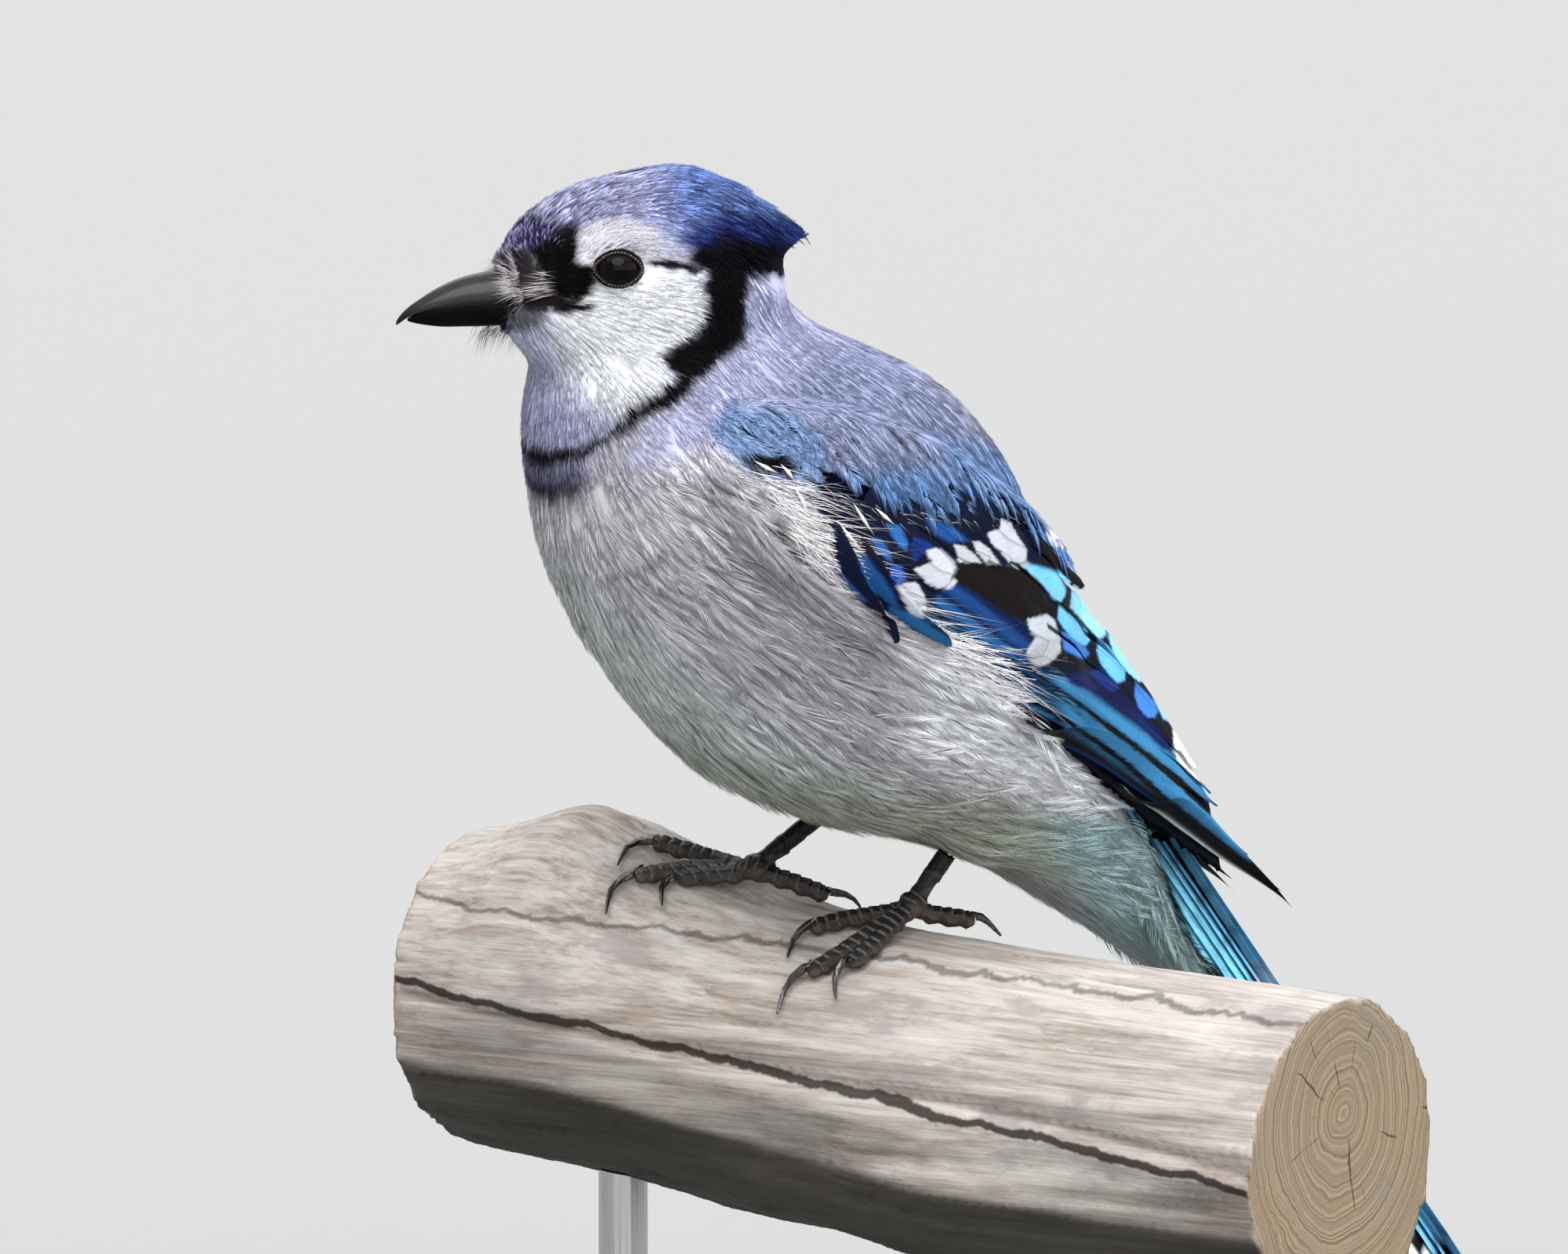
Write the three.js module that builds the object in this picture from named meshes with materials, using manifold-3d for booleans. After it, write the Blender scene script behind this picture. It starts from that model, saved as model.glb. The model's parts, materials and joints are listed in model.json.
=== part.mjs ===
import * as THREE from "three";
import { mergeVertices } from "three/addons/utils/BufferGeometryUtils.js";
import Module from "manifold-3d";

const wasm = await Module();
wasm.setup();

// Blue jay standing on a short cut length of driftwood, held by a flat base and two rods.
// Millimetres, +Z up. The body heads along -Y, its left side is +X, and the floor is z = 0.

// Driving sizes
const FOOT_LEVEL = 106;
const GAP = 0.3;
const HEAD_TURN = 16;
const HEAD_AT = [-2, -34, 100];
const EYE_RADIUS = 4.3;
const EYE_AT = [7.4, 10.4, 2.1];
const BILL_SIDES = 8;
const BODY_SIDES = 20;
const TAIL_LENGTH = 122;
const TAIL_DROOP = 54;
const TAIL_ROOT = [0, 42, 17];
const SHANK_THICKNESS = 3.2;
const TOE_THICKNESS = 3.1;
const CLAW_THICKNESS = 1.9;
const BASE_SIZE = [152, 104, 8];
const BASE_CORNER = 14;
const ROD_DIAMETER = 8;
const ROD_SPOTS = [-46, 50];
const PERCH_RUN = [0.882, 0.471];
const PERCH_OFFSET = 4;
const PERCH_HALF_DEPTH = 27;
const PERCH_SIDES = 16;

// Trunk: lower point, upper point (both y and height over the feet), half width, sideways shift
const TRUNK = [
  [-49, 92, -18, 101, 15, -4.5],
  [-52.5, 85, -12, 97, 19, -4],
  [-54, 77, -7, 92, 22, -3],
  [-54, 67, 2, 88, 25, -1.5],
  [-52, 56, 14, 82, 28, -0.5],
  [-45.5, 43, 25, 70, 30, 0],
  [-36, 30, 31.5, 55, 30.5, 0],
  [-24.5, 20, 35, 41, 29.5, 0],
  [-10, 12.5, 38.5, 29, 26.5, 0],
  [8, 8, 44, 20, 22, 0],
  [25, 2, 49.5, 10, 17, 0],
  [43, -8.5, 56, -1, 12.5, 0],
  [58, -18, 64, -12, 8.5, 0],
  [69, -26, 73, -22, 4.5, 0],
];

// Head, along its own forward line: station, top, bottom, half width
const HEAD = [
  [25.5, 2.5, -7.5, 3.5],
  [23.5, 6, -9.5, 6.2],
  [20.5, 10, -12.5, 8.6],
  [16.5, 13, -17, 10.6],
  [11, 15.3, -21, 12.6],
  [5, 16.7, -24, 14],
  [-1, 17.4, -26, 15.2],
  [-7, 17.2, -25, 15.4],
  [-13, 14, -21, 14],
  [-18, 8.5, -14, 10.5],
  [-21, 3, -8, 6],
];
const CREST = [
  [4, 16.5, 8, 9],
  [-3, 17.8, 6, 11.5],
  [-10, 16.6, 3, 11.5],
  [-16, 13, 1.5, 9.5],
  [-21, 9.6, 2.4, 6],
  [-25, 7.2, 5.2, 2],
];

// Bill, along the head's forward line: station, ridge, cutting edge, half width
const UPPER_BILL = [
  [15, 2.6, -3.1, 5.4],
  [21, 1.7, -3.4, 5],
  [26.5, 0.6, -3.7, 4.3],
  [30.5, -0.2, -3.9, 3.6],
  [34, -1.5, -4.3, 2.9],
  [37, -3.1, -4.8, 2.1],
  [39.3, -4.6, -5.7, 1.3],
  [41, -6.2, -7, 0.4],
];
const LOWER_BILL = [
  [15, -7.4, -3.5, 5],
  [21, -7.7, -3.8, 4.6],
  [26.5, -7.9, -4.1, 3.9],
  [30.5, -7.9, -4.3, 3.2],
  [34, -7.8, -4.7, 2.5],
  [37, -7.3, -5.2, 1.7],
  [39, -6.7, -6, 0.8],
];

// Folded left wing: upper edge, lower edge, outward bulge, inward depth
const WING = [
  [[19, -32, 79], [23, -35.5, 74], 0.3, 6],
  [[20, -25, 80.5], [27, -35, 68], 0.4, 8],
  [[19.5, -15, 79.5], [30.5, -31, 61.5], 0.5, 12],
  [[18.5, -1, 75], [31.5, -21.5, 52], 0.8, 14],
  [[16, 12, 67.5], [31.5, -8.5, 42.5], 1, 14],
  [[11, 26, 57.5], [29.5, 7, 34], 1.6, 12],
  [[6.5, 37.5, 47.5], [26, 23, 25], 2.2, 9],
  [[6, 45.8, 37], [20.5, 38, 15], 2, 3.5],
  [[6, 53, 26.5], [15, 51, 6], 1.4, 1.6],
  [[5.8, 60, 16], [11.5, 61.5, 0], 1.1, 1.2],
  [[6, 68.5, 3.8], [9, 69.5, -4], 0.8, 0.8],
  [[6.6, 76.2, -6.6], [7.2, 76.4, -7.6], 0.3, 0.4],
];
const WING_COVER = 2.6;
const WING_INNER_EDGE = 3;

// Tail, along its own line: station, half width, half thickness
const TAIL = [
  [0, 8, 4.2],
  [14, 10.5, 3.6],
  [34, 12.5, 2.6],
  [62, 15, 2.1],
  [92, 17.5, 1.7],
  [112, 17.5, 1.3],
  [119, 14, 1],
  [122, 7, 0.6],
];

// Legs: shank and toe lines, heights over the foot level
const LEGS = {
  left: {
    shank: [[10, 23, 18], [9, 14.4, 7.4], [8.5, 7.4, -1.8]],
    toes: {
      inner: [[8.5, 7, -2.4], [5.2, 4.6, -3.5], [2.5, 0.6, -4.3], [1.9, -3.9, -4.8], [2, -6.2, -5.3]],
      middle: [[8.5, 7, -2.4], [9.8, 2.5, -4], [10.8, -1.8, -5.8], [11.2, -6.6, -8.2], [10.6, -11.4, -10.9]],
      outer: [[8.5, 7, -2.4], [11.2, 2, -4.9], [13.6, -3, -7.5], [14.3, -6.4, -9.4]],
      rear: [[8.5, 7, -2.4], [7.8, 11.2, -3.8], [8.3, 14.6, -4.4], [9, 17, -4.9]],
    },
    claws: {
      inner: [[1.9, -5.6, -4.5], [1.4, -8.2, -5.2], [1.8, -10.4, -7], [4, -12.6, -9.9]],
      middle: [[10.6, -11, -10], [9.3, -13.3, -11], [8.5, -15.5, -13.6], [9.8, -17.6, -17.6]],
      outer: [[14.2, -6, -8.6], [13.8, -8.1, -9.5], [14.4, -9.8, -11.8], [16.6, -10.6, -15]],
      rear: [[8.8, 16.4, -4.3], [10.2, 18.8, -4.4], [11.8, 20.2, -6], [12.6, 20.8, -8.4]],
    },
  },
  right: {
    shank: [[-11, 10, 16], [-13.9, 0.2, 8.7], [-16, -8, 2.2]],
    toes: {
      inner: [[-16, -8.3, 1.6], [-17.6, -12, 1], [-19.4, -15.4, 0.9], [-20.4, -18.6, 0.4]],
      middle: [[-16, -8.3, 1.6], [-19.4, -11.6, 1.7], [-21.2, -15.6, 1.8], [-22.6, -20.4, 1.5], [-23.8, -24.3, 0.9]],
      outer: [[-16, -8.3, 1.6], [-20.6, -9, 2], [-25.6, -12, 3], [-28.6, -15.3, 4.1], [-30.2, -17.6, 4.6]],
      rear: [[-16, -8.3, 1.6], [-14.2, -4.4, 0.4], [-12.6, -1, -1], [-11.6, 1.6, -2.1]],
    },
    claws: {
      inner: [[-20.4, -18.2, 1.2], [-21.6, -20, 0.8], [-21.2, -21.8, -1.2], [-18.2, -23.2, -4.2]],
      middle: [[-23.8, -23.9, 1.8], [-25.4, -26, 0.9], [-25.2, -28.7, -1.6], [-22.8, -30.9, -5.2]],
      outer: [[-30.2, -17.2, 5.4], [-32, -19, 4.6], [-31.4, -22.4, 3.2], [-28.4, -25.8, 0.8]],
      rear: [[-11.7, 1, -1.4], [-10.9, 3.6, -2], [-9.9, 6, -2.7], [-9.2, 7.4, -4.4]],
    },
  },
};
const THIGHS = {
  left: { at: [11, 19, 15], size: [9, 12, 11] },
  right: { at: [-12, 6, 19], size: [9, 12, 11] },
};

// Perch, along its run: station, top, bottom
const PERCH = [
  [-73, 4.6, -46.5],
  [-66, 5, -48.2],
  [-58, 6.6, -49.4],
  [-51, 8, -50],
  [-44, 6.6, -50.2],
  [-37, 4.2, -50.6],
  [-28, 1.6, -51.6],
  [-19, -1.2, -52.8],
  [-9, -3.7, -54],
  [3, -5.5, -55.6],
  [16, -6.4, -57],
  [32, -7.5, -58.6],
  [54, -9, -60.4],
  [74, -10, -61.6],
  [91, -10.6, -61.8],
];
const PERCH_LUMPS = [
  { at: -52, angle: 130, reach: 14, height: 3 },
  { at: 30, angle: 215, reach: 16, height: 2.2 },
  { at: 66, angle: 20, reach: 18, height: 1.8 },
  { at: -20, angle: 300, reach: 20, height: 2.4 },
];

// Parting planes through the flesh: a point and the way they face (y and height)
const NECK_LINE = { at: [-30, 87], facing: [-0.3, 0.95] };
const BREAST_LINE = { at: [-26, 71], facing: [-0.38, 0.92] };
const BELLY_LINE = { at: [-4, 42], facing: [-0.5, 0.87] };
const TAIL_LINE = { at: [34, 9], facing: [-0.72, 0.69] };
const BACK_LINE = { at: [-2, 80], facing: [0.79, 0.61] };
const CREST_LINE = { at: [-9.5, 9.5], facing: [-0.83, 0.56] };

const COLOURS = {
  crown: 0x5a6cb0,
  face: 0xe6e4ea,
  mantle: 0x7f86b8,
  breast: 0xb9b3ad,
  belly: 0xd4d2d0,
  coverts: 0x3f5aa8,
  secondaries: 0x2f7fc8,
  primaries: 0x24549c,
  tail: 0x3c9ed0,
  leg: 0x24221f,
  claw: 0x17130f,
  bill: 0x202126,
  eye: 0x0f0b09,
  wood: 0xb3a38f,
  stand: 0xd9d6cf,
  rod: 0x9a9c9f,
};

const group = new THREE.Group();
group.name = "blue_jay_on_perch";

const vec = (p) => new THREE.Vector3(p[0], p[1], p[2]);
const lifted = (p) => new THREE.Vector3(p[0], p[1], p[2] + FOOT_LEVEL);

// Smooth value of every column at place u (0 to 1) in a list of rows
function blend(rows, u) {
  const place = Math.min(Math.max(u, 0), 1) * (rows.length - 1);
  const index = Math.min(Math.floor(place), rows.length - 2);
  const t = place - index;
  const pick = (i) => rows[Math.min(Math.max(i, 0), rows.length - 1)];
  const [a, b, c, d] = [pick(index - 1), pick(index), pick(index + 1), pick(index + 2)];
  return b.map((value, k) => {
    const slopeIn = (c[k] - a[k]) / 2;
    const slopeOut = (d[k] - b[k]) / 2;
    const rise = c[k] - b[k];
    const curve = 3 * rise - 2 * slopeIn - slopeOut;
    const tail = slopeIn + slopeOut - 2 * rise;
    return value + slopeIn * t + curve * t * t + tail * t * t * t;
  });
}

// Closed skin over a run of rings that all have the same number of points
function skinOver(rings) {
  const sides = rings[0].length;
  const points = [];
  const faces = [];
  rings.forEach((ring) => ring.forEach((p) => points.push(p.x, p.y, p.z)));
  for (let r = 0; r + 1 < rings.length; r += 1) {
    for (let s = 0; s < sides; s += 1) {
      const a = r * sides + s;
      const b = r * sides + ((s + 1) % sides);
      faces.push(a, b, a + sides, b, b + sides, a + sides);
    }
  }
  [0, rings.length - 1].forEach((r) => {
    const middle = new THREE.Vector3();
    rings[r].forEach((p) => middle.addScaledVector(p, 1 / sides));
    const hub = points.length / 3;
    points.push(middle.x, middle.y, middle.z);
    for (let s = 0; s < sides; s += 1) {
      const a = r * sides + s;
      const b = r * sides + ((s + 1) % sides);
      if (r === 0) {
        faces.push(hub, b, a);
      } else {
        faces.push(hub, a, b);
      }
    }
  });
  const geometry = new THREE.BufferGeometry();
  geometry.setAttribute("position", new THREE.Float32BufferAttribute(points, 3));
  geometry.setIndex(faces);
  return geometry;
}

function signedVolume(geometry) {
  const p = geometry.attributes.position;
  const index = geometry.index;
  const [a, b, c] = [new THREE.Vector3(), new THREE.Vector3(), new THREE.Vector3()];
  let sum = 0;
  for (let i = 0; i < index.count; i += 3) {
    a.fromBufferAttribute(p, index.getX(i));
    b.fromBufferAttribute(p, index.getX(i + 1));
    c.fromBufferAttribute(p, index.getX(i + 2));
    sum += a.dot(b.cross(c));
  }
  return sum / 6;
}

// Geometry to a boolean solid, turned right side out
function toSolid(source) {
  const bare = source.clone();
  bare.deleteAttribute("normal");
  bare.deleteAttribute("uv");
  const merged = mergeVertices(bare, 1e-4);
  const order = Array.from(merged.index.array);
  if (signedVolume(merged) < 0) {
    for (let i = 0; i < order.length; i += 3) {
      [order[i + 1], order[i + 2]] = [order[i + 2], order[i + 1]];
    }
  }
  return new wasm.Manifold(
    new wasm.Mesh({
      numProp: 3,
      vertProperties: new Float32Array(merged.attributes.position.array),
      triVerts: new Uint32Array(order),
    }),
  );
}

function toGeometry(solid) {
  const mesh = solid.getMesh();
  const geometry = new THREE.BufferGeometry();
  geometry.setAttribute("position", new THREE.BufferAttribute(new Float32Array(mesh.vertProperties), 3));
  geometry.setIndex(new THREE.BufferAttribute(new Uint32Array(mesh.triVerts), 1));
  geometry.computeVertexNormals();
  return geometry;
}

function addNode(name, solid, colour, roughness = 0.8) {
  const material = new THREE.MeshStandardMaterial({ color: colour, roughness, metalness: 0 });
  const mesh = new THREE.Mesh(toGeometry(solid), material);
  mesh.name = name;
  group.add(mesh);
}

// Ring of points round a centre, on two half axes, a little fuller than an ellipse
function ring(centre, across, up, sides, fullness = 2.2) {
  const points = [];
  for (let i = 0; i < sides; i += 1) {
    const angle = ((i + 0.5) / sides) * 2 * Math.PI;
    const x = Math.sign(Math.cos(angle)) * Math.abs(Math.cos(angle)) ** (2 / fullness);
    const y = Math.sign(Math.sin(angle)) * Math.abs(Math.sin(angle)) ** (2 / fullness);
    points.push(centre.clone().addScaledVector(across, x).addScaledVector(up, y));
  }
  return points;
}

// Everything on one side of a plane
function sideOf(point, facing) {
  const reach = 500;
  const box = new THREE.BoxGeometry(reach, reach, reach);
  const turn = new THREE.Quaternion().setFromUnitVectors(new THREE.Vector3(0, 0, 1), facing);
  box.applyQuaternion(turn);
  const middle = point.clone().addScaledVector(facing, reach / 2 + GAP / 2);
  box.translate(middle.x, middle.y, middle.z);
  return toSolid(box);
}

function split(solid, point, facing) {
  const away = facing.clone().normalize();
  const front = solid.intersect(sideOf(point, away));
  const back = solid.intersect(sideOf(point, away.clone().negate()));
  return [front, back];
}

const bodyPlane = (line) => [lifted([0, line.at[0], line.at[1]]), new THREE.Vector3(0, ...line.facing)];

// Trunk from the nape to the end of the feathers under the tail
function trunkSolid(grow = 0) {
  const rings = [];
  const steps = 18;
  for (let i = 0; i <= steps; i += 1) {
    const [lowY, lowZ, highY, highZ, half, shift] = blend(TRUNK, i / steps);
    const low = lifted([shift, lowY, lowZ]);
    const high = lifted([shift, highY, highZ]);
    const up = high.clone().sub(low).multiplyScalar(0.5);
    const centre = low.clone().add(up);
    up.setLength(up.length() + grow);
    rings.push(ring(centre, new THREE.Vector3(half + grow, 0, 0), up, BODY_SIDES, 2.1));
  }
  return toSolid(skinOver(rings));
}

// Head frame: forward, left and up
const turn = THREE.MathUtils.degToRad(HEAD_TURN);
const headForward = new THREE.Vector3(-Math.sin(turn), -Math.cos(turn), 0);
const headLeft = new THREE.Vector3(Math.cos(turn), -Math.sin(turn), 0);
const headPoint = (forward, left, up) =>
  lifted(HEAD_AT).addScaledVector(headForward, forward).addScaledVector(headLeft, left).add(vec([0, 0, up]));

function headLoft(rows, steps, sides, grow = 0, fullness = 2.2) {
  const rings = [];
  for (let i = 0; i <= steps; i += 1) {
    const [forward, top, bottom, half] = blend(rows, i / steps);
    const centre = headPoint(forward, 0, (top + bottom) / 2);
    const up = new THREE.Vector3(0, 0, (top - bottom) / 2 + grow);
    rings.push(ring(centre, headLeft.clone().multiplyScalar(half + grow), up, sides, fullness));
  }
  return toSolid(skinOver(rings));
}

// Half of the bill: domed towards its ridge, flat along its cutting edges
function billSolid(rows, grow = 0) {
  const rings = [];
  const steps = 12;
  for (let i = 0; i <= steps; i += 1) {
    const [forward, ridge, edge, half] = blend(rows, i / steps);
    const away = Math.sign(ridge - edge);
    const points = [headPoint(forward, 0, edge - away * grow)];
    for (let k = 0; k <= BILL_SIDES; k += 1) {
      const angle = (k / BILL_SIDES) * Math.PI;
      const rise = Math.sin(angle) ** 0.9 * (Math.abs(ridge - edge) + 2 * grow) - grow;
      points.push(headPoint(forward, Math.cos(angle) * (half + grow), edge + away * rise));
    }
    rings.push(points);
  }
  return toSolid(skinOver(rings));
}

function ball(centre, size, detail = 2) {
  const sphere = new THREE.IcosahedronGeometry(1, detail);
  sphere.scale(size[0], size[1], size[2]);
  sphere.translate(centre.x, centre.y, centre.z);
  return toSolid(sphere);
}

// Tapering rod along a line of points, its far end rounded
function limb(line, startHalf, endHalf, steps, sides, grow = 0) {
  const curve = new THREE.CatmullRomCurve3(line.map(lifted));
  const rings = [];
  const addRing = (u, half, beyond) => {
    const tangent = curve.getTangentAt(u);
    const side = new THREE.Vector3(0, 0, 1).cross(tangent).normalize();
    const up = tangent.clone().cross(side).normalize();
    const centre = curve.getPointAt(u).addScaledVector(tangent, beyond);
    rings.push(ring(centre, side.multiplyScalar(half), up.multiplyScalar(half), sides, 2));
  };
  for (let i = 0; i <= steps; i += 1) {
    addRing(i / steps, startHalf + ((endHalf - startHalf) * i) / steps + grow, 0);
  }
  addRing(1, (endHalf + grow) * 0.55, (endHalf + grow) * 0.75);
  return toSolid(skinOver(rings));
}

// Folded wing: a long lens between its upper and lower edge, with a cover that follows the trunk
function wingSolid(side) {
  const rows = WING.map(([top, low, out, into]) => [...top, ...low, out, into]);
  const steps = 13;
  const across = 5;
  const edgeAt = (u) => {
    const row = blend(rows, u);
    return { top: vec(row.slice(0, 3)), low: vec(row.slice(3, 6)), out: row[6], into: row[7] };
  };
  const rings = [];
  const outline = [];
  for (let i = 0; i <= steps; i += 1) {
    const here = edgeAt(i / steps);
    const before = edgeAt(i / steps - 0.02);
    const after = edgeAt(i / steps + 0.02);
    const along = after.top.clone().add(after.low).sub(before.top).sub(before.low);
    const down = here.low.clone().sub(here.top);
    const outward = down.clone().cross(along).normalize();
    if (outward.x < 0) {
      outward.negate();
    }
    const points = [];
    for (let k = 0; k < across; k += 1) {
      const v = k / across;
      const arch = Math.sin(Math.PI * v) ** 0.8;
      points.push(here.top.clone().addScaledVector(down, v).addScaledVector(outward, 0.35 + here.out * arch));
    }
    for (let k = 0; k < across; k += 1) {
      const v = 1 - k / across;
      const arch = Math.sin(Math.PI * v) ** 0.8;
      points.push(here.top.clone().addScaledVector(down, v).addScaledVector(outward, -0.35 - here.into * arch));
    }
    rings.push(points.map((p) => lifted([p.x * side, p.y, p.z])));
    outline.unshift(new THREE.Vector2(here.top.y, here.top.z + FOOT_LEVEL));
    outline.push(new THREE.Vector2(here.low.y, here.low.z + FOOT_LEVEL));
  }
  const field = new THREE.ExtrudeGeometry(new THREE.Shape(outline), { depth: 60, bevelEnabled: false });
  const sideways = new THREE.Matrix4();
  sideways.makeBasis(new THREE.Vector3(0, 1, 0), new THREE.Vector3(0, 0, 1), new THREE.Vector3(1, 0, 0));
  field.applyMatrix4(sideways);
  field.translate(WING_INNER_EDGE, 0, 0);
  field.scale(side, 1, 1);
  return toSolid(skinOver(rings)).add(toSolid(field).intersect(trunkSolid(WING_COVER)));
}

// Folded tail, hanging behind the perch
function tailSolid(grow = 0) {
  const droop = THREE.MathUtils.degToRad(TAIL_DROOP);
  const along = new THREE.Vector3(0, Math.cos(droop), -Math.sin(droop));
  const up = new THREE.Vector3(0, Math.sin(droop), Math.cos(droop));
  const rings = [];
  const steps = 9;
  for (let i = 0; i <= steps; i += 1) {
    const [station, half, thick] = blend(TAIL, i / steps);
    const reach = (station / TAIL[TAIL.length - 1][0]) * TAIL_LENGTH;
    const centre = lifted(TAIL_ROOT).addScaledVector(along, reach);
    const sideways = new THREE.Vector3(half + grow, 0, 0);
    rings.push(ring(centre, sideways, up.clone().multiplyScalar(thick + grow), 12, 2.4));
  }
  return toSolid(skinOver(rings));
}

// Driftwood: a bent, lumpy round with flat sawn ends
const runX = new THREE.Vector3(PERCH_RUN[0], PERCH_RUN[1], 0).normalize();
const runAcross = new THREE.Vector3(-runX.y, runX.x, 0);

// How far the bark line swells past the plain oval at a station and angle
function perchSwell(station, angle) {
  let swell = 1;
  if (Math.sin(angle) < 0.3) {
    swell += 0.02 * Math.sin(3 * angle + station * 0.05) + 0.012 * Math.sin(5 * angle - station * 0.09);
  }
  PERCH_LUMPS.forEach((lump) => {
    const away = Math.cos(angle - THREE.MathUtils.degToRad(lump.angle));
    const near = Math.exp(-(((station - lump.at) / lump.reach) ** 2));
    swell += (Math.max(away, 0) ** 3 * near * lump.height) / PERCH_HALF_DEPTH;
  });
  return swell;
}

// Middle and half height of the perch at place u along it
function perchSection(u) {
  const [station, top, bottom] = blend(PERCH, u);
  const centre = lifted([0, 0, (top + bottom) / 2]);
  centre.addScaledVector(runX, station).addScaledVector(runAcross, PERCH_OFFSET);
  return { station, centre, halfHeight: (top - bottom) / 2 };
}

function perchSolid(grow = 0) {
  const rings = [];
  const steps = 18;
  for (let i = 0; i <= steps; i += 1) {
    const { station, centre, halfHeight } = perchSection(i / steps);
    const points = [];
    for (let s = 0; s < PERCH_SIDES; s += 1) {
      const angle = (s / PERCH_SIDES) * 2 * Math.PI;
      const swell = perchSwell(station, angle);
      const sideways = Math.cos(angle) * (PERCH_HALF_DEPTH * swell + grow);
      const upward = Math.sin(angle) * (halfHeight * swell + grow);
      points.push(centre.clone().addScaledVector(runAcross, sideways).add(vec([0, 0, upward])));
    }
    rings.push(points);
  }
  return toSolid(skinOver(rings));
}

// A line of points over the feet, with each one pushed out to stand clear of the wood
function settle(line, clearance) {
  return line.map((p) => {
    const point = lifted(p);
    const station = point.dot(runX);
    let u = 0.5;
    for (let step = 0.25; step > 1e-4; step /= 2) {
      u += perchSection(u).station < station ? step : -step;
    }
    const { centre, halfHeight } = perchSection(u);
    const across = point.clone().sub(centre).dot(runAcross);
    const height = point.z - centre.z;
    const ratio = Math.hypot(across / PERCH_HALF_DEPTH, height / halfHeight);
    const angle = Math.atan2(height / halfHeight, across / PERCH_HALF_DEPTH);
    const needed = perchSwell(station, angle) + clearance / PERCH_HALF_DEPTH;
    if (ratio < needed) {
      const push = needed / ratio - 1;
      point.addScaledVector(runAcross, across * push).add(vec([0, 0, height * push]));
    }
    return [point.x, point.y, point.z - FOOT_LEVEL];
  });
}

// Flesh, whole, and the same shape a gap larger for cutting its neighbours
const flesh = (grow) =>
  trunkSolid(grow)
    .add(headLoft(HEAD, 12, 16, grow))
    .add(headLoft(CREST, 6, 12, grow))
    .add(ball(lifted(THIGHS.left.at), THIGHS.left.size.map((v) => v + grow), 1))
    .add(ball(lifted(THIGHS.right.at), THIGHS.right.size.map((v) => v + grow), 1));
const wholeFlesh = flesh(0);
const fleshRoom = flesh(GAP);

const upperBill = billSolid(UPPER_BILL);
const lowerBill = billSolid(LOWER_BILL);
const billRoom = billSolid(UPPER_BILL, GAP).add(billSolid(LOWER_BILL, GAP));

const tail = tailSolid();
const tailRoom = tailSolid(GAP);
const perchRoom = perchSolid(GAP);

// Head, crest, neck and the rest of the body
const [headEnd, bodyEnd] = split(wholeFlesh, ...bodyPlane(NECK_LINE));
const crestFacing = headForward.clone().multiplyScalar(CREST_LINE.facing[0]).add(vec([0, 0, CREST_LINE.facing[1]]));
const [crest, headWhole] = split(headEnd, headPoint(CREST_LINE.at[0], 0, CREST_LINE.at[1]), crestFacing);
let head = headWhole.subtract(billRoom);
[1, -1].forEach((side) => {
  const centre = headPoint(EYE_AT[0], EYE_AT[1] * side, EYE_AT[2]);
  head = head.subtract(ball(centre, [1, 1, 1].map(() => EYE_RADIUS + GAP)));
  addNode(side > 0 ? "eye_left" : "eye_right", ball(centre, [EYE_RADIUS, EYE_RADIUS, EYE_RADIUS]), COLOURS.eye, 0.08);
});
addNode("head", head, COLOURS.face);
addNode("crest", crest, COLOURS.crown);
addNode("bill_upper", upperBill, COLOURS.bill, 0.35);
addNode("bill_lower", lowerBill, COLOURS.bill, 0.35);

const [neck, belowNeck] = split(bodyEnd, ...bodyPlane(BREAST_LINE));
addNode("neck", neck, COLOURS.face);

const [chest, hindBody] = split(belowNeck, ...bodyPlane(BELLY_LINE));
const [mantle, breast] = split(chest, ...bodyPlane(BACK_LINE));
const [bellyWhole, underTail] = split(hindBody, ...bodyPlane(TAIL_LINE));
addNode("mantle", mantle, COLOURS.mantle);
addNode("breast", breast, COLOURS.breast);
addNode("under_tail", underTail.subtract(tailRoom), COLOURS.belly);

let belly = bellyWhole.subtract(tailRoom);
Object.entries(THIGHS).forEach(([side, thigh]) => {
  const centre = lifted(thigh.at);
  addNode(`thigh_${side}`, belly.intersect(ball(centre, thigh.size, 1)), COLOURS.belly);
  belly = belly.subtract(ball(centre, thigh.size.map((v) => v + GAP), 1));
});
addNode("belly", belly, COLOURS.belly);
addNode("tail", tail, COLOURS.tail);

// Wings, each parted into its three fields of feathers
[1, -1].forEach((side) => {
  const name = side > 0 ? "left" : "right";
  let wing = wingSolid(side).subtract(fleshRoom).subtract(tailRoom);
  wing = wing.intersect(sideOf(new THREE.Vector3(0, 0, 0), new THREE.Vector3(side, 0, 0)));
  const [coverts, quills] = split(wing, lifted([0, 0, 62]), new THREE.Vector3(0, -0.78, 0.62));
  const [primaries, secondaries] = split(quills, lifted([0, 44, 15]), new THREE.Vector3(0, 0.25, -0.97));
  addNode(`wing_${name}_coverts`, coverts, COLOURS.coverts);
  addNode(`wing_${name}_secondaries`, secondaries, COLOURS.secondaries);
  addNode(`wing_${name}_primaries`, primaries, COLOURS.primaries);
});

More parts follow.
